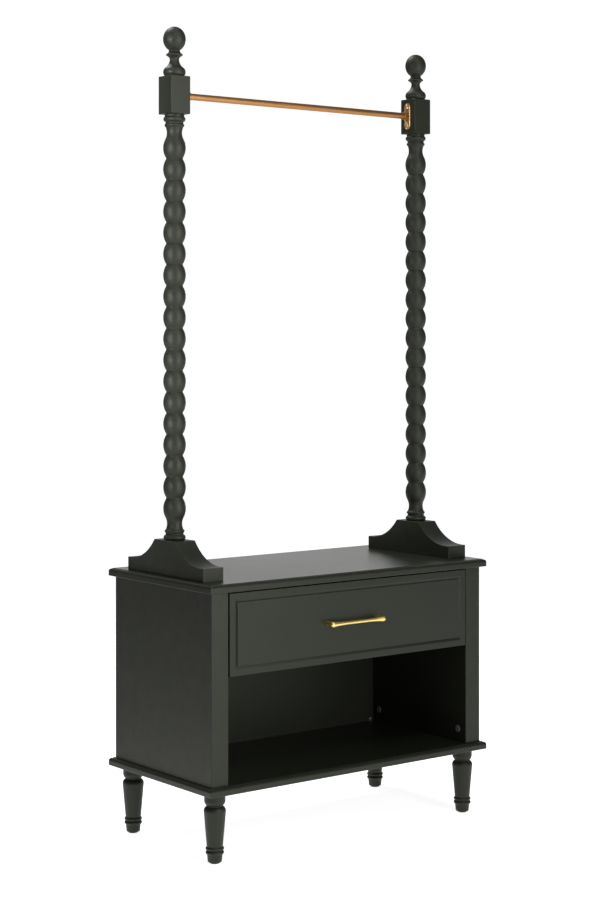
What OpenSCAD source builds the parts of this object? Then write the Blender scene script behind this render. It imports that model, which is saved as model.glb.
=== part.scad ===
// Clothing rack with a drawer. A low cabinet on four turned legs carries two bobbin-turned
// posts, and a rod hangs between them. One drawer runs under the top board, over an open shelf.
// Lengths are in millimetres. The front faces -Y, X runs from side to side, Z is up from the floor.

/* [Boards] */
// Width of the top and bottom boards
board_w = 800; // [740:1:1100]
// Depth of the top and bottom boards
board_d = 406; // [390:1:520]
// Thickness of the top and bottom boards
board_t = 18; // [17.5:0.5:26]
// Reach of the boards past the body at each side
side_overhang = 11; // [9:0.5:20]
// Reach of the boards past the body at the front and the back
front_overhang = 13; // [10:0.5:20]
// Radius of the rounded moulding along a board's edge
ovolo_r = 6.5; // [3:0.25:8]
// Height of the small step above the moulding
ovolo_step = 1.2; // [0.5:0.1:2]
// Chamfer along a board's lower edge
board_ease = 0.8; // [0.3:0.1:1.5]

/* [Body] */
// Height of the body between the two boards
body_h = 415; // [380:1:600]
// Width of the stiles at the corners of the body
stile_w = 44; // [42:1:60]
// Thickness of the stiles
stile_t = 20; // [16:1:26]
// Thickness of the outer side panels
side_panel_t = 16; // [12:1:18]
// Thickness of the panels that line the sides inside
lining_t = 16; // [15:1:20]
// Thickness of the back panel
back_t = 5; // [3:0.5:8]
// Distance from the back of the body to the back panel
back_recess = 35; // [26:1:45]
// Depth of the grooves that hold the back panel and the drawer's bottom
groove_depth = 6; // [4:0.5:7]
// Thickness of the shelf under the drawer
divider_t = 12; // [10:1:18]

/* [Legs] */
// Height of the bottom board above the floor
leg_h = 151.5; // [110:0.5:220]
// Widest diameter of a leg, at its shoulder
leg_d = 47.8; // [42:0.2:56]
// Diameter of the ring at the top of a leg
leg_top_d = 46; // [42:0.5:52]
// Diameter of the neck under that ring
leg_neck_d = 36.4; // [30:0.2:40]
// Diameter at the lower end of the taper
leg_taper_d = 35; // [28:0.2:38]
// Diameter of the two rings above the foot
leg_ring_d = 40; // [36:0.2:44]
// Diameter of the foot of a leg
leg_foot_d = 31; // [26:0.2:34]
// Distance from a leg's axis to the board's side edge
leg_inset_x = 40; // [36:0.5:60]
// Distance from a leg's axis to the board's front or back edge
leg_inset_y = 42; // [36:0.5:60]
// Diameter of the glide under a leg
glide_d = 22; // [14:0.5:26]
// Thickness of the glide under a leg
glide_t = 3; // [2:0.5:6]

/* [Drawer] */
// Height of the drawer front
drawer_front_h = 178.5; // [170:0.5:240]
// Thickness of the drawer front
drawer_front_t = 18; // [16:0.5:20]
// How far the drawer front stands ahead of the stiles
drawer_proud = 1.5; // [0:0.25:3]
// Gap at each end of the drawer front
drawer_end_gap = 3; // [1.5:0.25:5]
// Gap above the drawer front
drawer_top_gap = 4; // [2:0.25:8]
// Width of the flat border round the drawer front
border_w = 14; // [10:0.5:24]
// Width of the bevelled groove inside the border
bevel_w = 6.5; // [3:0.25:10]
// Depth of the bevelled groove
bevel_depth = 2.2; // [1:0.1:4]
// Thickness of the drawer box's sides and ends
box_t = 12; // [10:0.5:15]
// Height of the drawer box
box_h = 130; // [118:1:145]
// Gap between the shelf under the drawer and the box
box_floor_gap = 8; // [4:0.5:12]
// Thickness of the drawer's bottom
box_bottom_t = 5; // [3:0.5:8]
// Height of the drawer's bottom above the lower edge of the box
box_bottom_rise = 8; // [6:0.5:14]

/* [Slides] */
// Length of each drawer slide and of the drawer box
slide_l = 300; // [250:1:305]
// Height of each drawer slide
slide_h = 45; // [38:0.5:50]
// Width of each drawer slide
slide_t = 12.7; // [12.2:0.1:14]
// Thickness of the slides' sheet metal
slide_metal = 1.2; // [1:0.1:1.4]
// Running gap between the slides' members
slide_gap = 0.4; // [0.35:0.05:0.6]

/* [Handle] */
// Length of the handle
handle_l = 158; // [130:1:220]
// Diameter of the handle at its middle
handle_d = 7.8; // [6:0.2:10]
// Diameter of the handle's round ends
handle_end_d = 13.6; // [11:0.2:18]
// Distance from the drawer front to the handle's axis
handle_reach = 17.5; // [15:0.5:34]
// Diameter of the handle's posts at the drawer front
handle_post_d = 13.4; // [10:0.2:14]
// Distance between the handle's posts
handle_post_pitch = 144; // [96:1:190]

/* [Posts] */
// Distance from a post's axis to the side edge of the top board
post_inset = 45; // [36:0.5:80]
// Length of a post's base block
base_l = 297; // [270:1:340]
// Width of a post's base block
base_w = 54; // [44:0.5:60]
// Height of a post's base block
base_h = 78.5; // [60:0.5:110]
// Height of the base block's toes
toe_h = 29.5; // [24:0.5:45]
// Length of the flat part on each toe
toe_l = 10; // [4:0.5:16]
// Length of the flat top of the base block
base_top_l = 82; // [60:1:110]
// Number of beads on a post
bead_count = 18; // [10:1:24]
// Height of one bead
bead_pitch = 47; // [36:0.5:56]
// Diameter of the beads
bead_d = 50.2; // [45:0.2:54]
// Diameter in the grooves between the beads
bead_groove_d = 35.8; // [30:0.2:40]
// Height of the plain turning past the last bead's middle, at each end
turning_h = 69.25; // [56:0.25:90]
// Diameter of the large ring at the ends of the turning
torus_d = 49.4; // [44:0.2:52]
// Diameter of the small ring beside it
small_ring_d = 44.4; // [41:0.2:46]
// Diameter of the flats beside the rings
fillet_d = 39.6; // [37:0.2:40.5]
// Diameter of the hollow between the rings and the beads
cove_d = 33.4; // [28:0.2:36]
// Height of the collar under the square block
collar_h = 5.5; // [3:0.5:14]
// Width of the square block that holds the rod
block_w = 51; // [48:0.5:60]
// Height of the square block
block_h = 84; // [72:0.5:110]

/* [Finials] */
// Height of a finial
finial_h = 110.5; // [90:0.5:140]
// Diameter of the ball
ball_d = 50.6; // [40:0.2:56]
// Height of the ball
ball_h = 56; // [46:0.5:60]
// Diameter of the neck under the ball
finial_neck_d = 24.4; // [20:0.2:28]
// Diameter of the rim below the neck
finial_rim_d = 37.4; // [30:0.2:38]
// Diameter of the waist below the rim
finial_waist_d = 20.6; // [18:0.2:24]
// Diameter of the round foot of the finial
finial_foot_d = 50.2; // [44:0.2:54]

/* [Rod] */
// Outer diameter of the rod
rod_d = 15; // [13:0.5:20]
// Wall of the rod
rod_wall = 1.2; // [1:0.1:2]
// Height of the oval plate that carries the rod
plate_h = 63; // [54:0.5:68]
// Width of the plate
plate_w = 20; // [16:0.5:24]
// Thickness of the plate
plate_t = 3; // [2:0.25:5]
// Distance between the plate's two screws
plate_screw_pitch = 43.5; // [36:0.5:46]
// Length of the sockets that hold the rod's ends
socket_l = 13; // [8:0.5:20]

/* [Fixings] */
// Diameter of the posts' long bolts
bolt_d = 8; // [6:0.5:8]
// Outer diameter of the threaded inserts
insert_d = 12; // [10.5:0.5:13]
// Depth of the threaded inserts in the bottom board
leg_insert_l = 9; // [7:0.25:9]
// Diameter of a cam lock
cam_d = 15; // [12:0.5:18]
// Depth of a cam lock
cam_l = 12.5; // [11:0.25:13.5]
// Distance from a board to the centre of its cam locks
cam_rise = 30; // [24:0.5:40]
// Distance from the front of the body to the front cam locks
cam_front = 28; // [27.5:0.5:50]
// Distance from the back panel to the rear cam locks
cam_back = 22; // [16:0.5:40]
// Diameter of the covers over the cam locks
cover_d = 16; // [15.5:0.25:19]
// Diameter of the wooden dowels
dowel_d = 8; // [6:0.5:9]
// Length of a dowel
dowel_l = 30; // [24:1:36]
// Distance of the dowels in front of and behind the middle of a side
dowel_y = 60; // [40:1:80]
// Play round a screw, bolt or dowel in its hole, on the radius
fit = 0.1; // [0.05:0.05:0.15]

/* [Hidden] */
$fn = 64;

// Colours
paint = [0.20, 0.21, 0.19];
gold = [0.80, 0.63, 0.30];
zinc = [0.66, 0.67, 0.69];
raw_board = [0.24, 0.24, 0.23];
dowel_wood = [0.78, 0.64, 0.45];
plastic = [0.30, 0.30, 0.29];

// Levels, from the floor up
floor_z = leg_h + board_t;
ceiling_z = floor_z + body_h;
top_z = ceiling_z + board_t;
post_z = top_z + base_h;
bead_z = post_z + turning_h;
beads_end_z = bead_z + (bead_count - 1) * bead_pitch;
block_z = beads_end_z + turning_h + collar_h;
block_top_z = block_z + block_h;
rod_z = block_z + block_h / 2;
drawer_z = ceiling_z - drawer_top_gap - drawer_front_h;
divider_rise = 2;
divider_z = drawer_z + divider_rise;
box_z = divider_z + divider_t + box_floor_gap;
box_bottom_z = box_z + box_bottom_rise;
slide_z = box_z + box_h / 2;

// Half widths and depths, from the middle of the cabinet
body_x = board_w / 2 - side_overhang;
body_y = board_d / 2 - front_overhang;
inner_x = body_x - stile_w;
lining_x = inner_x + lining_t / 2;
panel_x = body_x - side_panel_t / 2;
post_x = board_w / 2 - post_inset;
leg_x = board_w / 2 - leg_inset_x;
leg_y = board_d / 2 - leg_inset_y;
back_y = body_y - back_recess - back_t;
panel_front_y = -body_y + stile_t;
panel_back_y = body_y - stile_t;
drawer_y = -body_y - drawer_proud;
box_y = drawer_y + drawer_front_t;
box_end_y = box_y + slide_l;
box_x = inner_x - slide_t;
box_inner_x = box_x - box_t;
cam_ys = [-body_y + cam_front, back_y - cam_back];
handle_y = drawer_y - handle_reach;

// The model is centred on its own depth, from the handle to the back edge of the boards
plan_shift = (-handle_y + handle_end_d / 2 - board_d / 2) / 2;

// Fixings that have one size everywhere
panel_fit = 0.2;
divider_gap = 1;
screw_d = 3.5;
screw_head_d = 7;
screw_head_h = 1.6;
bevel_head_h = 2.4;
base_screw_d = 4.5;
base_screw_head_d = 9;
base_screw_bite = 20;
base_screw_y = 0.35 * base_l;
bolt_head_d = 13;
bolt_head_h = 5;
post_insert_l = 28;
leg_bolt_bite = 25;
cam_bolt_d = 5;
cam_bolt_bite = 8;
cam_stem_d = 4;
cam_head_d = 6.4;
cover_t = 1.2;
clip_d = 9;
clip_t = 2.5;
clip_stem_d = 4;
clip_inset = 10.5;
glide_pin_d = 3;
glide_pin_l = 14;
finial_screw_d = 6;
finial_screw_bite = 22;
plate_screw_d = 3.8;
plate_screw_head_d = 11;
plate_screw_head_h = 3.2;
socket_wall = 1.6;
plate_screw_l = 22;
handle_screw_d = 4;
handle_screw_bite = 9;
front_screw_bite = 12;
divider_dowel_d = 6;
divider_dowel_l = 22;
divider_dowel_bite = 10;
slide_screw_l = 9;
slide_screw_ys = [0.1, 0.5, 0.9];
middle_setback = 1;
overcut = 1;

// Points of an arc from a to b that stands out of its chord by bulge. It leaves out the point a.
function arc_points(a, b, bulge, steps = 6) =
    let (chord = norm(b - a))
    let (along = (b - a) / chord)
    let (out = [along[1], -along[0]])
    let (half = 2 * atan(2 * bulge / chord))
    let (radius = (chord * chord / 4 + bulge * bulge) / (2 * bulge))
    [for (i = [1 : steps])
        let (turn = half * (2 * i / steps - 1))
        (a + b) / 2
            + out * (radius * (cos(turn) - 1) + bulge)
            + along * radius * sin(turn)];

// Outline points from steps of [radius, height, bulge of the arc that leads there]
function turned(steps) =
    [for (i = [0 : len(steps) - 1])
        let (here = [steps[i][0], steps[i][1]])
        let (bulge = steps[i][2])
        each (i == 0 || bulge == 0
            ? [here]
            : arc_points([steps[i - 1][0], steps[i - 1][1]], here, bulge))];

// The same outline upside down, for the upper end of a post
function flipped(points, top) =
    [for (i = [len(points) - 1 : -1 : 0]) [points[i][0], top - points[i][1]]];

// A solid turned from outline points that run upwards
module lathe(points) {
    last = len(points) - 1;
    rotate_extrude()
        polygon(concat([[0, points[0][1]]], points, [[0, points[last][1]]]));
}

module place() {
    translate([0, plan_shift, 0]) children();
}

// One piece on the right, or its mirror image on the left
module on_side(side) {
    if (side > 0) children();
    else mirror([1, 0, 0]) children();
}

// Copies at the four legs
module at_legs() {
    for (x = [-leg_x, leg_x])
        for (y = [-leg_y, leg_y])
            translate([x, y, 0]) children();
}

// A pin that runs along +X, for cross holes
module pin_x(d, l) {
    rotate([0, 90, 0]) cylinder(d = d, h = l);
}

// A box from its lowest corner to its highest
module block(low, high) {
    translate(low) cube(high - low);
}

// Outline of a board seen from its end: an ovolo under a small step at both edges
function board_edge(w) =
    let (step_x = w / 2 - ovolo_r - ovolo_step / 2)
    [
        [w / 2 - board_ease, 0],
        [w / 2, board_ease],
        [w / 2, board_t - ovolo_step - ovolo_r],
        for (a = [15 : 15 : 90])
            [w / 2 - ovolo_r + ovolo_r * cos(a), board_t - ovolo_step - ovolo_r + ovolo_r * sin(a)],
        [step_x, board_t - ovolo_step],
        [step_x, board_t]
    ];

module board_outline(w) {
    right = board_edge(w);
    polygon(concat(right, [for (i = [len(right) - 1 : -1 : 0]) [-right[i][0], right[i][1]]]));
}

module moulded_board() {
    intersection() {
        rotate([90, 0, 90])
            linear_extrude(height = board_w, center = true) board_outline(board_d);
        rotate([90, 0, 0])
            linear_extrude(height = board_d, center = true) board_outline(board_w);
    }
}

// Holes for dowels and cam bolts in a board, at the level of its joint with the sides
module side_joint_holes(z, bite_down) {
    for (side = [-1, 1]) {
        for (y = cam_ys)
            translate([side * lining_x, y, z - (bite_down ? cam_bolt_bite + fit : 0)])
                cylinder(d = cam_bolt_d + 2 * fit, h = cam_bolt_bite + fit);
        for (x = [lining_x, panel_x])
            for (y = [-dowel_y, dowel_y])
                translate([side * x, y, z - (bite_down ? dowel_l / 3 + fit : 0)])
                    cylinder(d = dowel_d + 2 * fit, h = dowel_l / 3 + fit);
    }
}

// Groove for the back panel in a board
module back_groove(z) {
    x = inner_x + groove_depth;
    block([-x, back_y - fit, z], [x, back_y + back_t + fit, z + groove_depth]);
}

module top_board() {
    color(paint) place() difference() {
        translate([0, 0, ceiling_z]) moulded_board();
        side_joint_holes(ceiling_z, false);
        back_groove(ceiling_z - overcut);
        for (x = [-post_x, post_x]) {
            translate([x, 0, ceiling_z - overcut])
                cylinder(d = bolt_d + 2 * fit, h = board_t + 2 * overcut);
            translate([x, 0, ceiling_z - overcut])
                cylinder(d = bolt_head_d + 2 * fit, h = bolt_head_h + overcut);
            for (y = [-base_screw_y, base_screw_y])
                translate([x, y, ceiling_z]) base_screw_hole();
        }
    }
}

module bottom_board() {
    color(paint) place() difference() {
        translate([0, 0, leg_h]) moulded_board();
        side_joint_holes(floor_z, true);
        back_groove(floor_z - groove_depth + overcut);
        at_legs()
            translate([0, 0, leg_h - overcut])
                cylinder(d = insert_d + 2 * fit, h = leg_insert_l + overcut + fit);
    }
}

// Holes in the end of a side panel for the dowels of both boards
module panel_dowel_holes(x) {
    for (y = [-dowel_y, dowel_y]) {
        translate([x, y, floor_z - overcut])
            cylinder(d = dowel_d + 2 * fit, h = dowel_l * 2 / 3 + overcut + fit);
        translate([x, y, ceiling_z - dowel_l * 2 / 3 - fit])
            cylinder(d = dowel_d + 2 * fit, h = dowel_l * 2 / 3 + overcut + fit);
    }
}

module side_panel() {
    difference() {
        block([body_x - side_panel_t, panel_front_y, floor_z], [body_x, panel_back_y, ceiling_z]);
        panel_dowel_holes(panel_x);
    }
}

module left_side_panel() { color(paint) place() on_side(-1) side_panel(); }
module right_side_panel() { color(paint) place() on_side(1) side_panel(); }

// Pockets for the cam locks and the holes for their bolts
module cam_pockets() {
    for (y = cam_ys)
        for (end = [0, 1]) {
            z = end == 0 ? floor_z + cam_rise : ceiling_z - cam_rise;
            low = end == 0 ? floor_z - overcut : z;
            translate([inner_x - overcut, y, z]) pin_x(cam_d + 2 * fit, cam_l + overcut + fit);
            translate([lining_x, y, low])
                cylinder(d = cam_head_d + 2 * fit, h = cam_rise + overcut);
        }
}

// The inner face of a side. It holds the back panel in a groove and the slide by three screws.
module lining_panel() {
    difference() {
        block([inner_x, panel_front_y, floor_z], [inner_x + lining_t, panel_back_y, ceiling_z]);
        cam_pockets();
        panel_dowel_holes(lining_x);
        block([inner_x - overcut, back_y - fit, floor_z - overcut],
            [inner_x + groove_depth, back_y + back_t + fit, ceiling_z + overcut]);
        at_slide_screws(panel_front_y)
            translate([inner_x - overcut, 0, 0])
                pin_x(screw_d + 2 * fit, slide_screw_l + overcut + fit);
        for (y = [-dowel_y, dowel_y])
            translate([inner_x - overcut, y, divider_z + divider_t / 2])
                pin_x(divider_dowel_d + 2 * fit, divider_dowel_bite + overcut + fit);
    }
}

module left_lining_panel() { color(paint) place() on_side(-1) lining_panel(); }
module right_lining_panel() { color(paint) place() on_side(1) lining_panel(); }

module stile(front_y) {
    block([inner_x, front_y, floor_z], [body_x, front_y + stile_t, ceiling_z]);
}

module left_front_stile() { color(paint) place() on_side(-1) stile(-body_y); }
module right_front_stile() { color(paint) place() on_side(1) stile(-body_y); }
module left_rear_stile() { color(paint) place() on_side(-1) stile(panel_back_y); }
module right_rear_stile() { color(paint) place() on_side(1) stile(panel_back_y); }

// Places of the two clips in the back panel's lower corners
module at_clips() {
    for (side = [-1, 1])
        translate([side * (inner_x - clip_inset), back_y, floor_z + clip_d / 2 + panel_fit])
            children();
}

module back_panel() {
    x = inner_x + groove_depth - panel_fit;
    low = floor_z - groove_depth + overcut + panel_fit;
    high = ceiling_z + groove_depth - overcut - panel_fit;
    color(paint) place() difference() {
        block([-x, back_y, low], [x, back_y + back_t, high]);
        at_clips()
            translate([0, back_t + overcut, 0])
                rotate([90, 0, 0]) cylinder(d = clip_stem_d + 2 * fit, h = back_t + 2 * overcut);
    }
}

module back_panel_clips() {
    color(plastic) place() at_clips() {
        rotate([90, 0, 0]) cylinder(d = clip_d, h = clip_t);
        rotate([-90, 0, 0]) cylinder(d = clip_stem_d, h = back_t + 2);
    }
}

module drawer_divider() {
    color(raw_board) place() difference() {
        block([-inner_x, box_y + divider_gap, divider_z], [inner_x, back_y, divider_z + divider_t]);
        for (side = [-1, 1])
            for (y = [-dowel_y, dowel_y])
                translate([side * inner_x, y, divider_z + divider_t / 2])
                    rotate([0, -90 * side, 0])
                        translate([0, 0, -overcut])
                            cylinder(d = divider_dowel_d + 2 * fit,
                                h = divider_dowel_l - divider_dowel_bite + overcut + fit);
    }
}

// Legs

leg_outline = turned([
    [leg_foot_d / 2 - 1.6, glide_t, 0],
    [leg_foot_d / 2, glide_t + 2.2, 0.5],
    [leg_foot_d / 2 + 1.3, 0.121 * leg_h, 0],
    [leg_taper_d / 2, 0.132 * leg_h, 0],
    [leg_taper_d / 2, 0.182 * leg_h, leg_ring_d / 2 - leg_taper_d / 2],
    [leg_taper_d / 2, 0.189 * leg_h, 0],
    [leg_taper_d / 2, 0.239 * leg_h, leg_ring_d / 2 - leg_taper_d / 2],
    [leg_taper_d / 2, 0.246 * leg_h, 0],
    [leg_d / 2, 0.725 * leg_h, 0],
    [leg_neck_d / 2, 0.812 * leg_h, 2.4],
    [leg_neck_d / 2, 0.824 * leg_h, 0],
    [leg_top_d / 2, 0.905 * leg_h, 1.7],
    [leg_top_d / 2, leg_h, 0]
]);

module leg(side, front) {
    translate([side * leg_x, front * leg_y, 0]) difference() {
        lathe(leg_outline);
        translate([0, 0, leg_h - leg_bolt_bite - fit])
            cylinder(d = bolt_d + 2 * fit, h = leg_bolt_bite + overcut + fit);
        translate([0, 0, glide_t - overcut])
            cylinder(d = glide_pin_d + 2 * fit, h = glide_pin_l + overcut + fit);
    }
}

module left_front_leg() { color(paint) place() leg(-1, -1); }
module right_front_leg() { color(paint) place() leg(1, -1); }
module left_rear_leg() { color(paint) place() leg(-1, 1); }
module right_rear_leg() { color(paint) place() leg(1, 1); }

module leg_glides() {
    color(plastic) place() at_legs() {
        cylinder(d = glide_d, h = glide_t);
        cylinder(d = glide_pin_d, h = glide_t + glide_pin_l);
    }
}

module leg_bolts() {
    color(zinc) place() at_legs()
        translate([0, 0, leg_h - leg_bolt_bite])
            cylinder(d = bolt_d, h = leg_bolt_bite + leg_insert_l - 2 * fit);
}

// A threaded sleeve for a bolt
module insert(l) {
    difference() {
        cylinder(d = insert_d, h = l);
        translate([0, 0, -overcut]) cylinder(d = bolt_d + 2 * fit, h = l + 2 * overcut);
    }
}

module leg_inserts() {
    color(zinc) place() at_legs() translate([0, 0, leg_h]) insert(leg_insert_l);
}

// Cam locks, dowels and covers in the sides

// Copies for both sides, both cam positions and both boards. The bolt runs away from the board.
module at_cams(ends) {
    for (side = [-1, 1])
        on_side(side)
            for (y = cam_ys)
                for (end = ends)
                    translate([inner_x, y, end == 0 ? floor_z : ceiling_z])
                        mirror([0, 0, end])
                            children();
}

module cam_bolt() {
    translate([lining_t / 2, 0, -cam_bolt_bite]) cylinder(d = cam_bolt_d, h = cam_bolt_bite);
    translate([lining_t / 2, 0, -overcut]) cylinder(d = cam_stem_d, h = cam_rise + overcut);
    translate([lining_t / 2, 0, cam_rise - cam_head_d / 4])
        cylinder(d = cam_head_d, h = cam_head_d / 2);
}

module cam_locks() {
    color(zinc) place() at_cams([0, 1]) difference() {
        translate([0, 0, cam_rise]) pin_x(cam_d, cam_l);
        translate([lining_t / 2, 0, 0]) cylinder(d = cam_head_d + 4 * fit, h = cam_rise + cam_head_d / 2);
    }
}

module cam_bolts() {
    color(zinc) place() at_cams([0, 1]) cam_bolt();
}

// Only the lower cam locks have covers, because the drawer hides the upper ones
module cam_covers() {
    color(plastic) place() at_cams([0])
        translate([-cover_t, 0, cam_rise]) pin_x(cover_d, cover_t);
}

module dowels() {
    color(dowel_wood) place()
        for (side = [-1, 1])
            for (x = [lining_x, panel_x])
                for (y = [-dowel_y, dowel_y]) {
                    translate([side * x, y, floor_z - dowel_l / 3]) cylinder(d = dowel_d, h = dowel_l);
                    translate([side * x, y, ceiling_z - dowel_l * 2 / 3])
                        cylinder(d = dowel_d, h = dowel_l);
                }
}

module divider_dowels() {
    color(dowel_wood) place()
        for (side = [-1, 1])
            on_side(side)
                for (y = [-dowel_y, dowel_y])
                    translate([inner_x - divider_dowel_l + divider_dowel_bite, y,
                        divider_z + divider_t / 2])
                        pin_x(divider_dowel_d, divider_dowel_l);
}

// Post bases

// The hollow of the base block is an arc that starts level at the toe and meets the flat top
hollow_run = base_l / 2 - toe_l - base_top_l / 2;
hollow_rise = base_h - toe_h;
hollow_r = (hollow_run * hollow_run + hollow_rise * hollow_rise) / (2 * hollow_rise);

module base_outline() {
    difference() {
        polygon([
            [-base_l / 2, 0],
            [base_l / 2, 0],
            [base_l / 2, toe_h],
            [base_l / 2 - toe_l, toe_h],
            [base_top_l / 2, base_h],
            [-base_top_l / 2, base_h],
            [-base_l / 2 + toe_l, toe_h],
            [-base_l / 2, toe_h]
        ]);
        for (side = [-1, 1])
            translate([side * (base_l / 2 - toe_l), toe_h + hollow_r]) circle(r = hollow_r, $fn = 180);
    }
}

// A countersunk screw from the underside of the top board into the base block
module base_screw() {
    cylinder(d1 = base_screw_head_d, d2 = base_screw_d, h = bevel_head_h);
    cylinder(d = base_screw_d, h = board_t + base_screw_bite);
}

module base_screw_hole() {
    translate([0, 0, -fit])
        cylinder(d1 = base_screw_head_d + 4 * fit, d2 = base_screw_d + 2 * fit, h = bevel_head_h + 2 * fit);
    cylinder(d = base_screw_d + 2 * fit, h = board_t + base_screw_bite + fit);
}

module post_base(side) {
    translate([side * post_x, 0, 0]) difference() {
        translate([0, 0, top_z])
            rotate([90, 0, 90]) linear_extrude(height = base_w, center = true) base_outline();
        translate([0, 0, top_z - overcut]) cylinder(d = bolt_d + 2 * fit, h = base_h + 2 * overcut);
        for (y = [-base_screw_y, base_screw_y])
            translate([0, y, ceiling_z]) base_screw_hole();
    }
}

module left_post_base() { color(paint) place() post_base(-1); }
module right_post_base() { color(paint) place() post_base(1); }

module base_screws() {
    color(zinc) place()
        for (x = [-post_x, post_x])
            for (y = [-base_screw_y, base_screw_y])
                translate([x, y, ceiling_z]) base_screw();
}

// Posts

// Radius of the arc that shapes each bead, and a bead's outline round its middle
bead_r = bead_d / 2;
bead_drop = bead_r - bead_groove_d / 2;
bead_arc_r = (bead_pitch * bead_pitch / 4 + bead_drop * bead_drop) / (2 * bead_drop);
function bead_radius(offset) = bead_r - bead_arc_r + sqrt(bead_arc_r * bead_arc_r - offset * offset);

// Where the end beads run out into the hollow
shoulder = 0.43 * bead_pitch;
bead_steps = 8;
fillet_r = fillet_d / 2;

// The turning at an end of a post, from its end to the shoulder of the first bead
end_outline = turned([
    [fillet_r + 1.6, 0, 0],
    [fillet_r + 1.2, 0.161 * turning_h, torus_d / 2 - fillet_r - 1.4],
    [fillet_r, 0.176 * turning_h, 0],
    [fillet_r, 0.225 * turning_h, 0],
    [fillet_r, 0.330 * turning_h, small_ring_d / 2 - fillet_r],
    [fillet_r - 0.5, 0.343 * turning_h, 0],
    [bead_radius(shoulder), turning_h - shoulder, (cove_d - fillet_d) / 2 + 0.4]
]);

beads_outline = [
    for (bead = [0 : bead_count - 1])
        let (first = bead == 0 ? -shoulder : -bead_pitch / 2)
        let (last = bead == bead_count - 1 ? shoulder : bead_pitch / 2)
        for (i = [1 : bead_steps])
            let (offset = first + (last - first) * i / bead_steps)
            [bead_radius(offset), bead_z + bead * bead_pitch + offset]
];

turning_top_z = block_z - collar_h;
post_outline = concat(
    [for (p = end_outline) [p[0], post_z + p[1]]],
    beads_outline,
    [for (p = flipped(end_outline, turning_top_z)) if (p[1] > beads_end_z + shoulder + fit) p],
    [[fillet_r + 2, turning_top_z + 0.3], [fillet_r + 2, block_z + overcut]]
);

// Places of the two screws of a rod bracket, which run along +X into the block
module at_plate_screws() {
    for (dz = [-plate_screw_pitch / 2, plate_screw_pitch / 2])
        translate([post_x - block_w / 2, 0, rod_z + dz]) children();
}

module post() {
    difference() {
        union() {
            translate([post_x, 0, 0]) lathe(post_outline);
            translate([post_x - block_w / 2, -block_w / 2, block_z]) cube([block_w, block_w, block_h]);
        }
        translate([post_x, 0, post_z - overcut])
            cylinder(d = insert_d + 2 * fit, h = post_insert_l + overcut + fit);
        translate([post_x, 0, block_top_z - finial_screw_bite - fit])
            cylinder(d = finial_screw_d + 2 * fit, h = finial_screw_bite + overcut + fit);
        at_plate_screws()
            translate([-overcut, 0, 0])
                pin_x(plate_screw_d + 2 * fit, plate_screw_l - plate_t + overcut + fit);
    }
}

module left_post() { color(paint) place() on_side(-1) post(); }
module right_post() { color(paint) place() on_side(1) post(); }

module post_bolts() {
    color(zinc) place()
        for (x = [-post_x, post_x])
            translate([x, 0, ceiling_z]) {
                cylinder(d = bolt_head_d, h = bolt_head_h);
                cylinder(d = bolt_d, h = board_t + base_h + post_insert_l - 2 * fit);
            }
}

module post_inserts() {
    color(zinc) place()
        for (x = [-post_x, post_x])
            translate([x, 0, post_z]) insert(post_insert_l);
}

// Finials

ball_z = finial_h - ball_h / 2;
neck_turn = acos(finial_neck_d / ball_d);
neck_z = ball_z - ball_h / 2 * sin(neck_turn);
ball_steps = 16;
finial_outline = concat(
    turned([
        [finial_foot_d / 2 - 4.5, 0, 0],
        [finial_foot_d / 2 - 4.5, 0.329 * neck_z, 4.5],
        [finial_waist_d / 2 + 1, 0.551 * neck_z, -1.6],
        [finial_waist_d / 2, 0.645 * neck_z, -0.2],
        [finial_waist_d / 2 + 1.1, 0.709 * neck_z, -0.1],
        [finial_rim_d / 2 - 0.9, 0.79 * neck_z, -0.5],
        [finial_rim_d / 2, 0.814 * neck_z, 0],
        [finial_rim_d / 2 - 0.2, 0.842 * neck_z, 0],
        [finial_neck_d / 2 + 0.9, 0.929 * neck_z, -0.4],
        [finial_neck_d / 2, 0.981 * neck_z, 0],
        [finial_neck_d / 2, neck_z, 0]
    ]),
    [for (i = [1 : ball_steps])
        let (turn = -neck_turn + (90 + neck_turn) * i / ball_steps)
        [i == ball_steps ? 0 : ball_d / 2 * cos(turn), ball_z + ball_h / 2 * sin(turn)]]
);

module finial(side) {
    translate([side * post_x, 0, block_top_z]) difference() {
        rotate_extrude() polygon(concat([[0, 0]], finial_outline));
        translate([0, 0, -overcut])
            cylinder(d = finial_screw_d + 2 * fit, h = finial_screw_bite + overcut + fit);
    }
}

module left_finial() { color(paint) place() finial(-1); }
module right_finial() { color(paint) place() finial(1); }

module finial_dowel_screws() {
    color(zinc) place()
        for (x = [-post_x, post_x])
            translate([x, 0, block_top_z - finial_screw_bite])
                cylinder(d = finial_screw_d, h = 2 * finial_screw_bite);
}

// Rod

plate_x = post_x - block_w / 2 - plate_t;
bore_d = rod_d - 2 * rod_wall;

module hanging_rod() {
    color(gold) place()
        translate([0, 0, rod_z]) rotate([0, 90, 0]) difference() {
            cylinder(d = rod_d, h = 2 * plate_x - 2 * fit, center = true);
            cylinder(d = bore_d, h = 2 * plate_x + 2 * overcut, center = true);
        }
}

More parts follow.
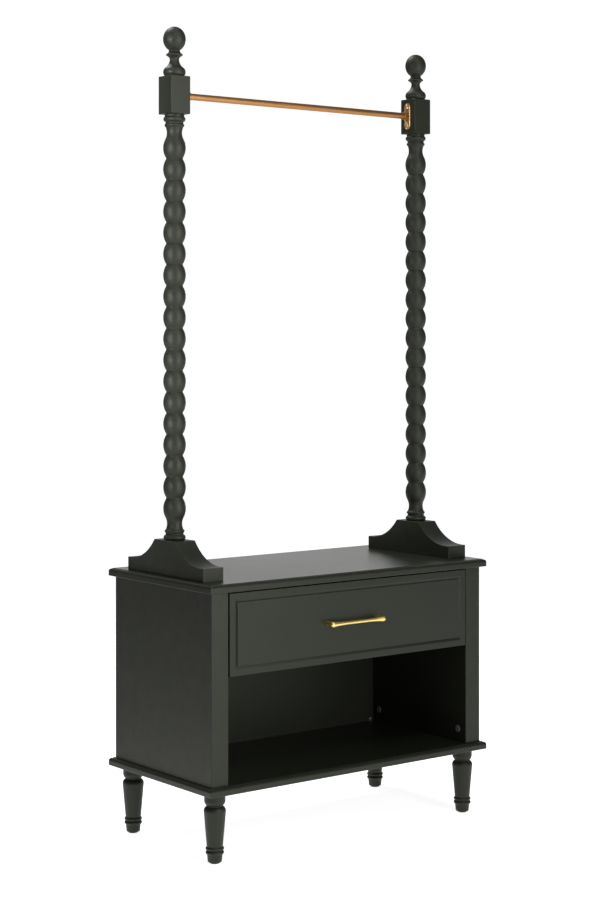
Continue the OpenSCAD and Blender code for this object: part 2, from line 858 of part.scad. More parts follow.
// An oval plate on the block, with a socket that carries the rod and two screw holes
module rod_bracket() {
    difference() {
        union() {
            translate([plate_x, 0, rod_z]) rotate([90, 0, 90]) linear_extrude(height = plate_t)
                union() {
                    square([plate_w, plate_h - plate_w], center = true);
                    for (side = [-1, 1])
                        translate([0, side * (plate_h - plate_w) / 2]) circle(d = plate_w);
                }
            translate([plate_x - socket_l, 0, rod_z]) difference() {
                pin_x(rod_d + 2 * fit + 2 * socket_wall, socket_l + plate_t / 2);
                translate([-overcut, 0, 0]) pin_x(rod_d + 2 * fit, socket_l + overcut);
            }
        }
        at_plate_screws()
            translate([-plate_t - overcut, 0, 0])
                pin_x(plate_screw_d + 2 * fit, plate_t + 2 * overcut);
    }
}

module left_rod_bracket() { color(gold) place() on_side(-1) rod_bracket(); }
module right_rod_bracket() { color(gold) place() on_side(1) rod_bracket(); }

module rod_bracket_screws() {
    color(gold) place()
        for (side = [-1, 1])
            on_side(side) at_plate_screws() difference() {
                union() {
                    translate([-plate_t - plate_screw_head_h, 0, 0])
                        pin_x(plate_screw_head_d, plate_screw_head_h);
                    translate([-plate_t - plate_screw_head_h, 0, 0])
                        pin_x(plate_screw_d, plate_screw_head_h + plate_screw_l);
                }
                translate([-plate_t - plate_screw_head_h - overcut, 0, 0])
                    pin_x(plate_screw_d, overcut + plate_screw_head_h / 2);
            }
}

// Drawer slides: three nested channels on each side

// A channel along Y. Its web stands at x, and its flanges reach to flange_x.
module channel(x, flange_x, h, start_y) {
    web = flange_x > x ? slide_metal : -slide_metal;
    low_x = min(x, flange_x);
    high_x = max(x, flange_x);
    translate([0, start_y, slide_z]) {
        block([min(x, x + web), 0, -h / 2], [max(x, x + web), slide_l, h / 2]);
        for (side = [-1, 1]) {
            z = side > 0 ? h / 2 - slide_metal : -h / 2;
            block([low_x, 0, z], [high_x, slide_l, z + slide_metal]);
        }
    }
}

middle_h = slide_h - 2 * slide_metal - 2 * slide_gap;
member_h = middle_h - 2 * slide_metal - 2 * slide_gap;
// Steps across a slide, measured from the lining towards the drawer
cabinet_flange = slide_t * 0.75;
middle_web = slide_metal + screw_head_h + slide_gap;
middle_flange = slide_t * 0.86;
member_flange = middle_web + slide_metal + 2 * slide_gap;

// Copies at the three screws of a slide that starts at start_y
module at_slide_screws(start_y) {
    for (share = slide_screw_ys)
        translate([0, start_y + share * slide_l, slide_z]) children();
}

module slide_cabinet_member() {
    difference() {
        channel(inner_x, inner_x - cabinet_flange, slide_h, panel_front_y);
        at_slide_screws(panel_front_y)
            translate([inner_x - slide_metal - overcut, 0, 0])
                pin_x(screw_d + 2 * fit, slide_metal + 2 * overcut);
    }
}

module slide_middle_member() {
    channel(inner_x - middle_web, inner_x - middle_flange, middle_h, panel_front_y + middle_setback);
}

module slide_drawer_member() {
    difference() {
        channel(box_x, inner_x - member_flange, member_h, box_y);
        at_slide_screws(box_y)
            translate([box_x - overcut, 0, 0])
                pin_x(screw_d + 2 * fit, slide_metal + 2 * overcut);
    }
}

module left_slide_cabinet_member() { color(zinc) place() on_side(-1) slide_cabinet_member(); }
module right_slide_cabinet_member() { color(zinc) place() on_side(1) slide_cabinet_member(); }
module left_slide_middle_member() { color(zinc) place() on_side(-1) slide_middle_member(); }
module right_slide_middle_member() { color(zinc) place() on_side(1) slide_middle_member(); }
module left_slide_drawer_member() { color(zinc) place() on_side(-1) slide_drawer_member(); }
module right_slide_drawer_member() { color(zinc) place() on_side(1) slide_drawer_member(); }

// A pan-head screw whose shank runs along -Z from under its head
module pan_screw(l) {
    cylinder(d = screw_head_d, h = screw_head_h);
    translate([0, 0, -l]) cylinder(d = screw_d, h = l + screw_head_h / 2);
}

module slide_cabinet_screws() {
    color(zinc) place()
        for (side = [-1, 1])
            on_side(side) at_slide_screws(panel_front_y)
                translate([inner_x - slide_metal, 0, 0])
                    rotate([0, -90, 0]) pan_screw(slide_screw_l + slide_metal);
}

module slide_drawer_screws() {
    color(zinc) place()
        for (side = [-1, 1])
            on_side(side) at_slide_screws(box_y)
                translate([box_x + slide_metal, 0, 0])
                    rotate([0, 90, 0]) pan_screw(slide_screw_l + slide_metal);
}

// Drawer

front_x = inner_x - drawer_end_gap;

// A shallow pit with sloping walls, cut into the drawer front from -Y
module sloped_pit(depth) {
    x = front_x - border_w;
    z = drawer_front_h / 2 - border_w;
    mid_z = drawer_z + drawer_front_h / 2;
    reach = overcut * bevel_w / depth;
    translate([0, drawer_y, mid_z]) intersection() {
        linear_extrude(height = 2 * z + 2 * reach, center = true)
            polygon([[-x - reach, -overcut], [x + reach, -overcut], [x - bevel_w, depth],
                [-x + bevel_w, depth]]);
        rotate([90, 0, 90])
            linear_extrude(height = 2 * x + 2 * reach, center = true)
                polygon([[-overcut, -z - reach], [-overcut, z + reach], [depth, z - bevel_w],
                    [depth, -z + bevel_w]]);
    }
}

// Places on the drawer front's back for the handle screws and the front screws
module at_handle_posts() {
    for (x = [-handle_post_pitch / 2, handle_post_pitch / 2])
        translate([x, 0, drawer_z + drawer_front_h / 2]) children();
}

front_screw_x = box_inner_x - 45;
module at_front_screws() {
    for (x = [-front_screw_x, front_screw_x])
        for (z = [box_z + 0.25 * box_h, box_z + 0.8 * box_h])
            translate([x, box_y, z]) children();
}

module drawer_front() {
    panel_x = front_x - border_w - bevel_w;
    panel_z = border_w + bevel_w;
    color(paint) place() difference() {
        union() {
            difference() {
                block([-front_x, drawer_y, drawer_z], [front_x, box_y, drawer_z + drawer_front_h]);
                sloped_pit(bevel_depth);
            }
            block([-panel_x, drawer_y, drawer_z + panel_z],
                [panel_x, drawer_y + bevel_depth + overcut, drawer_z + drawer_front_h - panel_z]);
        }
        at_handle_posts()
            translate([0, box_y + overcut, 0]) rotate([90, 0, 0])
                cylinder(d = handle_screw_d + 2 * fit, h = drawer_front_t + 2 * overcut);
        at_front_screws()
            translate([0, overcut, 0]) rotate([90, 0, 0])
                cylinder(d = screw_d + 2 * fit, h = front_screw_bite + overcut + fit);
    }
}

// The groove that holds the drawer's bottom, open towards the back
module bottom_groove() {
    x = box_inner_x + groove_depth;
    block([-x, box_y + box_t - groove_depth, box_bottom_z - fit],
        [x, box_end_y + overcut, box_bottom_z + box_bottom_t + fit]);
}

module drawer_inner_front() {
    color(raw_board) place() difference() {
        block([-box_inner_x, box_y, box_z], [box_inner_x, box_y + box_t, box_z + box_h]);
        bottom_groove();
        at_handle_posts()
            translate([0, box_y + box_t + overcut, 0]) rotate([90, 0, 0])
                cylinder(d = handle_screw_d + 2 * fit, h = box_t + 2 * overcut);
        at_front_screws()
            translate([0, box_t + overcut, 0]) rotate([90, 0, 0])
                cylinder(d = screw_d + 2 * fit, h = box_t + 2 * overcut);
        at_box_screws() box_screw_hole();
    }
}

// Places of the screws through the box's sides, with X along the screw towards the middle
box_screw_l = 34;
module at_box_screws() {
    for (side = [-1, 1])
        on_side(side)
            for (y = [box_y + box_t / 2, box_end_y - box_t / 2])
                for (z = [box_z + 0.16 * box_h, box_z + 0.85 * box_h])
                    translate([box_x, y, z]) rotate([0, -90, 0]) children();
}

// A countersunk screw that sits flush and runs along +Z
module box_screw() {
    cylinder(d1 = screw_head_d, d2 = screw_d, h = bevel_head_h);
    cylinder(d = screw_d, h = box_screw_l);
}

module box_screw_hole() {
    translate([0, 0, -fit])
        cylinder(d1 = screw_head_d + 4 * fit, d2 = screw_d + 2 * fit, h = bevel_head_h + 2 * fit);
    cylinder(d = screw_d + 2 * fit, h = box_screw_l + fit);
}

module drawer_side() {
    difference() {
        block([box_inner_x, box_y, box_z], [box_x, box_end_y, box_z + box_h]);
        bottom_groove();
        at_slide_screws(box_y)
            translate([box_x - slide_screw_l - fit, 0, 0])
                pin_x(screw_d + 2 * fit, slide_screw_l + overcut + fit);
        at_box_screws() box_screw_hole();
    }
}

module drawer_left_side() { color(raw_board) place() on_side(-1) drawer_side(); }
module drawer_right_side() { color(raw_board) place() on_side(1) drawer_side(); }

module drawer_back() {
    color(raw_board) place() difference() {
        block([-box_inner_x, box_end_y - box_t, box_bottom_z + box_bottom_t + fit],
            [box_inner_x, box_end_y, box_z + box_h]);
        at_box_screws() box_screw_hole();
    }
}

module drawer_bottom() {
    x = box_inner_x + groove_depth - panel_fit;
    color(raw_board) place() difference() {
        block([-x, box_y + box_t - groove_depth + panel_fit, box_bottom_z],
            [x, box_end_y, box_bottom_z + box_bottom_t]);
        at_box_screws() box_screw_hole();
    }
}

module drawer_box_screws() {
    color(zinc) place() at_box_screws() box_screw();
}

module drawer_front_screws() {
    color(zinc) place() at_front_screws()
        translate([0, box_t, 0]) rotate([-90, 0, 0]) pan_screw(box_t + front_screw_bite);
}

// Handle

handle_flare = handle_l / 2 - handle_end_d / 2;
handle_outline = turned([
    [handle_d / 2, -0.1, 0],
    [handle_d / 2, 0.3 * handle_flare, 0],
    [handle_end_d / 2, handle_flare, -0.9],
    [0.1 * handle_end_d, handle_l / 2, 0.11 * handle_end_d]
]);

// A post of the handle, from the drawer front to the bar's axis
handle_post_outline = turned([
    [handle_post_d / 2, 0, 0],
    [handle_post_d / 2, 1.2, 0],
    [handle_post_d / 2 - 0.7, 0.5 * handle_reach, -0.3],
    [handle_post_d / 2 - 0.5, handle_reach, 0]
]);

module drawer_handle() {
    color(gold) place() difference() {
        union() {
            translate([0, handle_y, drawer_z + drawer_front_h / 2])
                for (side = [-1, 1])
                    rotate([0, 90 * side, 0]) lathe(handle_outline);
            at_handle_posts()
                translate([0, drawer_y, 0]) rotate([90, 0, 0]) lathe(handle_post_outline);
        }
        at_handle_posts()
            translate([0, drawer_y + overcut, 0]) rotate([90, 0, 0])
                cylinder(d = handle_screw_d + 2 * fit, h = handle_screw_bite + overcut + fit);
    }
}

module handle_screws() {
    l = box_t + drawer_front_t + handle_screw_bite;
    color(zinc) place() at_handle_posts()
        translate([0, box_y + box_t, 0]) rotate([-90, 0, 0]) {
            cylinder(d = 2 * handle_screw_d, h = screw_head_h);
            translate([0, 0, -l]) cylinder(d = handle_screw_d, h = l + screw_head_h / 2);
        }
}

top_board();
bottom_board();
left_side_panel();
right_side_panel();
left_lining_panel();
right_lining_panel();
left_front_stile();
right_front_stile();
left_rear_stile();
right_rear_stile();
back_panel();
back_panel_clips();
drawer_divider();
left_front_leg();
right_front_leg();
left_rear_leg();
right_rear_leg();
leg_glides();
leg_bolts();
leg_inserts();
cam_locks();
cam_bolts();
cam_covers();
dowels();
divider_dowels();
left_post_base();
right_post_base();
base_screws();
left_post();
right_post();
post_bolts();
post_inserts();
left_finial();
right_finial();
finial_dowel_screws();
hanging_rod();
left_rod_bracket();
right_rod_bracket();
rod_bracket_screws();
left_slide_cabinet_member();
right_slide_cabinet_member();
slide_cabinet_screws();
left_slide_middle_member();
right_slide_middle_member();
left_slide_drawer_member();
right_slide_drawer_member();
slide_drawer_screws();
drawer_front();
drawer_inner_front();
drawer_left_side();
drawer_right_side();
drawer_back();
drawer_bottom();
drawer_box_screws();
drawer_front_screws();
drawer_handle();
handle_screws();
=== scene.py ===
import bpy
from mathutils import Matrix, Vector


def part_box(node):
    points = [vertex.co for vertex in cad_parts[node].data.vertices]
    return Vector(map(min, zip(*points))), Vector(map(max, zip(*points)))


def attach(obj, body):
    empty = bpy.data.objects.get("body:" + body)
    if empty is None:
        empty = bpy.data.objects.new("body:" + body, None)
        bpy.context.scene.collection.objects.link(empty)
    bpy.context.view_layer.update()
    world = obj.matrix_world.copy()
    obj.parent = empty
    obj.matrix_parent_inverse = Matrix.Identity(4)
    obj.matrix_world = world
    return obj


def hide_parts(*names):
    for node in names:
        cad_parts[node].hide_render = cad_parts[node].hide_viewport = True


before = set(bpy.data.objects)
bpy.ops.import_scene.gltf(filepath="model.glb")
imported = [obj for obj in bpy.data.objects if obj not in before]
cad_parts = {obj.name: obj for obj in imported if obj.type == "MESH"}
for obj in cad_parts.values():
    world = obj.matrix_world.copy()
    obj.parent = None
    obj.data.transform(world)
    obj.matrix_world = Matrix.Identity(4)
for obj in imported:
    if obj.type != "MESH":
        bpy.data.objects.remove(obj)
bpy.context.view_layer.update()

import math

import bpy
import numpy as np
from bpy.props import FloatProperty, FloatVectorProperty, IntProperty, PointerProperty
from bpy.types import NodeSocket, Operator, Panel, PropertyGroup
from mathutils import Vector

bl_info = {
    "name": "Clothing Rack with a Drawer",
    "version": (1, 0, 0),
    "blender": (4, 5, 0),
    "location": "View3D > Sidebar > Rack",
    "description": "Paint, metal and moulded detail of a clothing rack that stands on a low cabinet",
    "category": "Object",
}

MM = 0.001
QUARTER = math.pi / 2
SIDES = ("left", "right")
ENDS = ("front", "rear")

# Curved surfaces: the longest stretch between two rings, the turn between them, and the points round a piece
RING_STEP = 2.6 * MM
RING_TURN = math.radians(7)
LATHE_SEGMENTS = 72
FITTING_SEGMENTS = 48
SMALL_SEGMENTS = 40
SHANK_SEGMENTS = 24

# Fine steps in one width of the paint film, and how many of them its bell curve reaches to each side
FILM_STEPS = 3
FILM_REACH = 9

# Curvatures at which an arris begins and is fully paled, a painted highlight, and smoothed, and the same for the
# painted shade in a groove
ARRIS_CURVATURE = (120.0, 520.0)
GROOVE_CURVATURE = (60.0, 420.0)

# Least radius of a moulding's corner, and the length, the squared length and the normal that count as nothing
LEAST_RADIUS = 0.04 * MM
NO_LENGTH, NO_SQUARE, NO_NORMAL = 1e-9, 1e-12, 1e-20
NO_TRIANGLES = np.zeros((0, 3), int)

# Axes u, v and w of a piece that stands upright, and of one whose own Z points at the front or the rear
UPRIGHT = ((1, 0, 0), (0, 1, 0), (0, 0, 1))
TO_FRONT = ((1, 0, 0), (0, 0, 1), (0, -1, 0))
TO_REAR = ((0, 0, 1), (1, 0, 0), (0, 1, 0))

# Boards: how far a flat face runs in from its moulding, the corners of a board and of the drawer front seen from
# their faces, and the small round of an edge that is only sanded
FACE_RUN = 6 * MM
BOARD_CORNER = 0.9 * MM
DRAWER_CORNER = 0.8 * MM
SANDED_EDGE = 0.8 * MM

# Posts, rod and rod plates: the square block's height, the rod's wall, a plate's thickness, how far its middle lies
# below its rim, and its screws' distance from its middle
POST_BLOCK_HEIGHT = 84 * MM
ROD_WALL = 1.2 * MM
PLATE_THICKNESS = 3 * MM
PLATE_SEAT = 0.6 * MM
PLATE_SCREW_REACH = 21.75 * MM

# Handle and drawer screws: a handle post's distance from the middle, a pan head's height and its shank's radius
HANDLE_POST_REACH = 72 * MM
SCREW_HEAD_HEIGHT = 1.6 * MM
SCREW_SHANK_RADIUS = 1.75 * MM

# Corners of each stile that are softened, the outer and the inner one, in the order that moulded() turns through
STILE_CORNERS = {
    "left_front": (3, 0), "left_rear": (2, 1), "right_front": (0, 3), "right_rear": (1, 2)}


def linear(red, green, blue):
    """Scene-linear colour of an sRGB colour in steps of 255: the lower end is a straight line, the rest a power."""
    c = np.array([red, green, blue]) / 255
    return tuple(np.where(c <= 0.04045, c / 12.92, ((c + 0.055) / 1.055) ** 2.4))


# Sizes and colours that a user would change


def length_setting(name, description, default, low, high, precision=4):
    """A length that a user can change. Its numbers are given in millimetres."""
    return FloatProperty(name=name, description=description, default=default * MM, min=low * MM, max=high * MM,
                         precision=precision, unit="LENGTH")


def colour_setting(name, description, default):
    """A colour that a user can change, given as a scene-linear colour."""
    return FloatVectorProperty(name=name, description=description, default=default, min=0, max=1, size=3,
                               subtype="COLOR")


class RackSizes(PropertyGroup):
    edge_radius: length_setting("Edge Radius", "Radius of the softened edges of the boards", 1.1, 0.2, 3)
    joint_radius: length_setting("Joint Radius", "Radius of the edges where two boards meet", 0.12, 0.05, 1, 5)
    paint_film: length_setting(
        "Paint Film", "How far the paint rounds the corners of mouldings and turnings", 0.42, 0.1, 1.5, 5)
    moulding_radius: length_setting("Moulding Radius", "Radius of the rounded moulding of the boards", 6.5, 3, 8)
    moulding_step: length_setting("Moulding Step", "Height of the small step above the moulding", 1.2, 0.5, 2)
    border_width: length_setting("Border Width", "Width of the flat border round the drawer front", 14, 10, 24)
    bevel_width: length_setting("Bevel Width", "Width of the sloping groove inside the border", 6.5, 3, 10)
    bevel_depth: length_setting("Bevel Depth", "Depth of the sloping groove", 2.2, 1, 4)
    bead_count: IntProperty(name="Beads", description="Number of beads on a post", default=18, min=10, max=24)
    bead_pitch: length_setting("Bead Height", "Height of one bead of a post", 47, 36, 56)
    bead_diameter: length_setting("Bead Diameter", "Diameter of the beads", 50.2, 45, 54)
    groove_diameter: length_setting("Groove Diameter", "Diameter in the grooves between the beads", 35.8, 30, 40)
    hollow_length: length_setting("Base Top Length", "Length of the flat top of a base block", 82, 60, 110)
    toe_height: length_setting("Toe Height", "Height of the toes of a base block", 29.5, 24, 45)
    toe_length: length_setting("Toe Length", "Length of the flat part on each toe of a base block", 10, 4, 16)


class RackFinishes(PropertyGroup):
    paint: colour_setting("Paint", "Colour of the satin paint", linear(31, 34, 27))
    foil_board: colour_setting("Drawer Board", "Colour of the foil on the drawer's boards", linear(66, 67, 64))
    rod_gold: colour_setting("Rod", "Colour of the hanging rod's brushed metal", linear(180, 132, 84))
    fitting_gold: colour_setting("Handle", "Colour of the drawer handle", linear(255, 226, 142))
    plate_gold: colour_setting(
        "Plates", "Colour of the plates that hold the rod and of their screws", linear(234, 198, 142))
    zinc: colour_setting("Zinc", "Colour of the zinc-plated slides, bolts and screws", linear(196, 198, 202))
    beech: colour_setting("Beech", "Colour of the bare beech dowels", linear(213, 176, 128))
    plastic: colour_setting("Plastic", "Colour of the covers, clips and glides", linear(104, 105, 100))
    film_texture: length_setting("Paint Texture", "Height of the fine texture in the paint", 0.02, 0, 0.2, 6)


class RackStudio(PropertyGroup):
    view_azimuth: FloatProperty(
        name="View Azimuth", description="Turn of the camera about the rack, from its front",
        default=math.radians(-37.81), subtype="ANGLE")
    view_roll: FloatProperty(
        name="View Roll", description="Tilt of the camera about its own line of sight",
        default=math.radians(0.02), subtype="ANGLE")
    floor: colour_setting("Floor", "Colour of the floor", (0.86, 0.86, 0.86))
    white_lift: FloatProperty(
        name="White Lift", description="How much whiter the floor and the sweep look than their light makes them",
        default=0.87, min=0, max=1)
    fill: FloatProperty(
        name="Fill", description="Strength of the even light of the room", default=0.14, min=0, max=1)


# Outlines


def arc_points(a, b, bulge, steps=12):
    """Arc from a to b that stands out of its chord by bulge, without a itself.
    Its radius is (chord squared / 4 + bulge squared) / (2 bulge), and its points turn evenly about its centre."""
    across = b - a
    chord = math.hypot(*across)
    forward = across / chord
    out = np.array([forward[1], -forward[0]])
    radius = (chord ** 2 / 4 + bulge ** 2) / (2 * bulge)
    turn = 2 * math.atan(2 * bulge / chord) * np.linspace(-1, 1, steps + 1)[1:]
    return (a + b) / 2 + np.outer(radius * (np.cos(turn) - 1) + bulge, out) + np.outer(radius * np.sin(turn), forward)


def outline(steps):
    """Line through steps of (radius, height) or (radius, height, bulge of the arc that leads there)."""
    points = [np.array([steps[0][:2]])]
    for before, (radius, height, *bulge) in zip(steps, steps[1:]):
        a, b = np.array(before[:2]), np.array([radius, height])
        points.append(arc_points(a, b, bulge[0]) if bulge and bulge[0] else b[None])
    return np.concatenate(points)


def filmed(lines, film, closed=False, step=RING_STEP):
    """Lines (n, m, 2) with their corners rounded as a coat of paint rounds them, thinned to as few points as they need.
    All lines are read at the same even steps along the first one. Each new point is the mean of its neighbours,
    weighted by a bell curve of width film. A point is kept where the length or the turn since the last one has grown
    enough."""
    if closed:
        lines = np.concatenate([lines, lines[:, :1]], axis=1)
    pieces = np.linalg.norm(np.diff(lines[0], axis=0), axis=1)
    lengths = np.concatenate([[0], np.cumsum(np.maximum(pieces, NO_LENGTH))])
    count = int(math.ceil(lengths[-1] / (film / FILM_STEPS)))
    at = np.linspace(0, lengths[-1], count + 1)[: count if closed else count + 1]
    index = np.clip(np.searchsorted(lengths, at, side="right") - 1, 0, len(pieces) - 1)
    share = ((at - lengths[index]) / np.maximum(pieces[index], NO_LENGTH))[:, None]
    fine = lines[:, index] * (1 - share) + lines[:, index + 1] * share
    if closed:
        before, after = fine[:, -FILM_REACH:], fine[:, :FILM_REACH]
    else:
        before = 2 * fine[:, :1] - fine[:, FILM_REACH:0:-1]
        after = 2 * fine[:, -1:] - fine[:, -2:-FILM_REACH - 2:-1]
    padded = np.concatenate([before, fine, after], axis=1)
    offsets = np.arange(2 * FILM_REACH + 1)
    weights = np.exp(-0.5 * ((offsets - FILM_REACH) / FILM_STEPS) ** 2)
    weights /= weights.sum()
    smooth = sum(w * padded[:, k:k + fine.shape[1]] for k, w in zip(offsets, weights))
    run = np.diff(smooth[0], axis=0)
    heading = np.unwrap(np.arctan2(run[:, 1], run[:, 0]))
    bend = np.concatenate([[0], np.abs(np.diff(heading))])
    grown = np.concatenate([[0], np.cumsum(np.linalg.norm(run, axis=1) / step + bend / RING_TURN)])
    kept = np.searchsorted(grown, np.linspace(0, grown[-1], int(math.ceil(grown[-1])) + 1))
    kept = np.unique(np.clip(kept, 0, fine.shape[1] - 1))
    return smooth[:, kept]


def filmed_line(points, film, **choices):
    """One line, rounded and thinned in the same way."""
    return filmed(np.asarray(points)[None], film, **choices)[0]


def rounded_end(radius, length, steps=4):
    """Profile of a board from end to end: a quarter circle of the radius, the straight length, a quarter circle."""
    angle = np.linspace(0, QUARTER, steps + 1)
    inset, height = radius * (1 - np.sin(angle)), radius * (1 - np.cos(angle))
    low = np.stack([inset, height], axis=1)
    high = np.stack([inset[::-1], length - height[::-1]], axis=1)
    return np.concatenate([low, high])


# Surfaces. Each gives its points, its four-sided faces, its three-sided faces and its flat end faces.


def ring_faces(rows, columns, closed=True):
    """Faces between neighbouring rings of a grid of points. Closed rings run on from the last column to the first."""
    row = np.arange(rows - 1)[:, None]
    column = np.arange(columns if closed else columns - 1)[None, :]
    after = (column + 1) % columns
    corners = [row * columns + column, row * columns + after, (row + 1) * columns + after, (row + 1) * columns + column]
    return np.stack([np.broadcast_to(c, corners[0].shape) for c in corners], axis=-1).reshape(-1, 4)


def round_angles(segments):
    """Evenly spaced angles of one full turn."""
    return np.linspace(0, 2 * math.pi, segments, endpoint=False)


def revolved(profile, segments=LATHE_SEGMENTS, closed=False):
    """Surface of revolution about Z: x = r cos(a), y = r sin(a), z = h, for each profile point (r, h) and each angle a.
    A profile that starts or ends on the axis is closed there by a fan about one point, and another by a flat end. A
    closed profile runs on from its last point to its first."""
    low_pole, high_pole = profile[0, 0] < NO_LENGTH, profile[-1, 0] < NO_LENGTH
    rings = profile[1 if low_pole else 0: -1 if high_pole else None]
    angle = round_angles(segments)
    radius, height = rings[:, :1], np.broadcast_to(rings[:, 1:], (len(rings), segments))
    points = np.stack([radius * np.cos(angle), radius * np.sin(angle), height], axis=-1).reshape(-1, 3)
    quads = ring_faces(len(rings), segments)
    last = len(points) - segments
    here = np.arange(segments)
    after = (here + 1) % segments
    if closed:
        seam = np.stack([last + here, last + after, after, here], axis=1)
        return points, np.concatenate([quads, seam]), NO_TRIANGLES, []
    fans, ends = [NO_TRIANGLES], []
    for pole, top, first, second, flat in (
            (low_pole, profile[0, 1], after, here, here[::-1]),
            (high_pole, profile[-1, 1], last + here, last + after, last + here)):
        if pole:
            fans.append(np.stack([np.full(segments, len(points)), first, second], axis=1))
            points = np.concatenate([points, [[0, 0, top]]])
        else:
            ends.append(flat)
    return points, quads, np.concatenate(fans), ends


def stacked(rings):
    """Rings (n, m, 3) joined one to the next, with a flat face over the first and the last."""
    rows, columns = rings.shape[:2]
    first, last = np.arange(columns)[::-1], (rows - 1) * columns + np.arange(columns)
    return rings.reshape(-1, 3), ring_faces(rows, columns), NO_TRIANGLES, [first, last]


def moulded(half_u, half_v, radii, profile, corner_steps=5):
    """A moulding run round a rectangle of the given half sizes: each profile point (inset, height) makes one ring.
    A ring is four quarter circles, whose radii shrink by the inset. Its corners turn from the lower right one on."""
    inset, height = profile[:, 0][:, None, None], profile[:, 1][:, None, None]
    radius = np.maximum(np.array(radii)[None, :, None] - inset, LEAST_RADIUS)
    starts = np.arange(4) * QUARTER - QUARTER
    angle = np.linspace(0, QUARTER, corner_steps)[None, None, :] + starts[None, :, None]
    side_u = np.array([1, 1, -1, -1])[None, :, None]
    side_v = np.array([-1, 1, 1, -1])[None, :, None]
    u = side_u * (half_u - inset - radius) + radius * np.cos(angle)
    v = side_v * (half_v - inset - radius) + radius * np.sin(angle)
    rings = np.stack([u, v, np.broadcast_to(height, u.shape)], axis=-1)
    return stacked(rings.reshape(len(profile), -1, 3))


def placed(surface, origin, axes=UPRIGHT):
    """The surface with its own axes laid along u, v and w from the origin. A mirrored one has its faces turned back."""
    points, quads, tris, ends = surface
    axes = np.array(axes, float)
    points = np.asarray(origin, float) + points @ axes
    if np.linalg.det(axes) < 0:
        quads, tris, ends = quads[:, ::-1], tris[:, ::-1], [e[::-1] for e in ends]
    return points, quads, tris, ends


def to_side(sign):
    """Axes of a piece whose own Z points along X, to the right for a sign of 1 and to the left for -1."""
    return (0, 1, 0), (0, 0, 1), (sign, 0, 0)


def stood(surface, middle):
    """An upright surface, with its own axis through the middle and its heights as they are."""
    return placed(surface, (middle[0], middle[1], 0))


def joined(*surfaces):
    """Several surfaces as one."""
    points, quads, tris, ends, count = [], [], [], [], 0
    for p, q, t, e in surfaces:
        points.append(p)
        quads.append(q + count)
        tris.append(t + count)
        ends += [x + count for x in e]
        count += len(p)
    return np.concatenate(points), np.concatenate(quads), np.concatenate(tris), ends


# Meshes


def area_normals(points, quads, tris, ends):
    """Normal at each point: the sum of its faces' normals, each as long as the face is large."""
    normals = np.zeros_like(points)
    for faces in [quads, tris, *[e[None] for e in ends]]:
        if len(faces):
            corners = points[faces]
            spokes = corners - corners.mean(axis=1, keepdims=True)
            area = np.cross(spokes, np.roll(spokes, -1, axis=1)).sum(axis=1)
            np.add.at(normals, faces.ravel(), np.repeat(area, faces.shape[1], axis=0))
    return normals / np.maximum(np.linalg.norm(normals, axis=1, keepdims=True), NO_NORMAL)


def curvature(points, normals, quads):
    """Mean curvature at each point: twice the rise of the normal over each edge, divided by the edge's length
    squared."""
    total, count = np.zeros(len(points)), np.zeros(len(points))
    for k in range(4):
        a, b = quads[:, k], quads[:, (k + 1) % 4]
        edge = points[a] - points[b]
        square = np.maximum((edge ** 2).sum(axis=1), NO_SQUARE)
        np.add.at(total, a, 2 * (normals[a] * edge).sum(axis=1) / square)
        np.add.at(total, b, -2 * (normals[b] * edge).sum(axis=1) / square)
        np.add.at(count, a, 1)
        np.add.at(count, b, 1)
    return total / np.maximum(count, 1)


def ramp(values, low, high):
    """Smooth step from 0 at low to 1 at high."""
    t = np.clip((values - low) / (high - low), 0, 1)
    return t * t * (3 - 2 * t)


def make_piece(name, surface, use, *nodes, body="cabinet"):
    """Puts the surface into a mesh with smooth normals, the two edge masks and the finish for its use, parents it to
    its body's empty, and hides the CAD nodes that it stands for."""
    points, quads, tris, ends = surface
    loops = np.concatenate([quads.ravel(), tris.ravel(), *ends]).astype(np.int32)
    sizes = np.concatenate([np.full(len(quads), 4), np.full(len(tris), 3), [len(e) for e in ends]]).astype(np.int32)
    mesh = bpy.data.meshes.new(name)
    mesh.vertices.add(len(points))
    mesh.vertices.foreach_set("co", points.astype(np.float32).ravel())
    mesh.loops.add(len(loops))
    mesh.loops.foreach_set("vertex_index", loops)
    mesh.polygons.add(len(sizes))
    mesh.polygons.foreach_set("loop_start", np.concatenate([[0], np.cumsum(sizes)[:-1]]).astype(np.int32))
    mesh.polygons.foreach_set("use_smooth", np.ones(len(sizes), bool))
    mesh.update(calc_edges=True)
    if mesh.validate():
        raise RuntimeError(f"{name}: a face of this piece is broken")
    normals = area_normals(points, quads, tris, ends)
    bent = curvature(points, normals, quads)
    masks = {"arris": ramp(bent, *ARRIS_CURVATURE), "groove": ramp(-bent, *GROOVE_CURVATURE)}
    for mask, values in masks.items():
        mesh.attributes.new(mask, "FLOAT", "POINT").data.foreach_set("value", values.astype(np.float32))
    mesh.normals_split_custom_set_from_vertices(normals)
    mesh.materials.append(material_for(use))
    piece = bpy.data.objects.new(name, mesh)
    bpy.context.scene.collection.objects.link(piece)
    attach(piece, body)
    if nodes:
        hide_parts(*nodes)


def node_box(node):
    """Lowest corner, highest corner and middle of a CAD node."""
    low, high = (np.array(corner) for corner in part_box(node))
    return low, high, (low + high) / 2


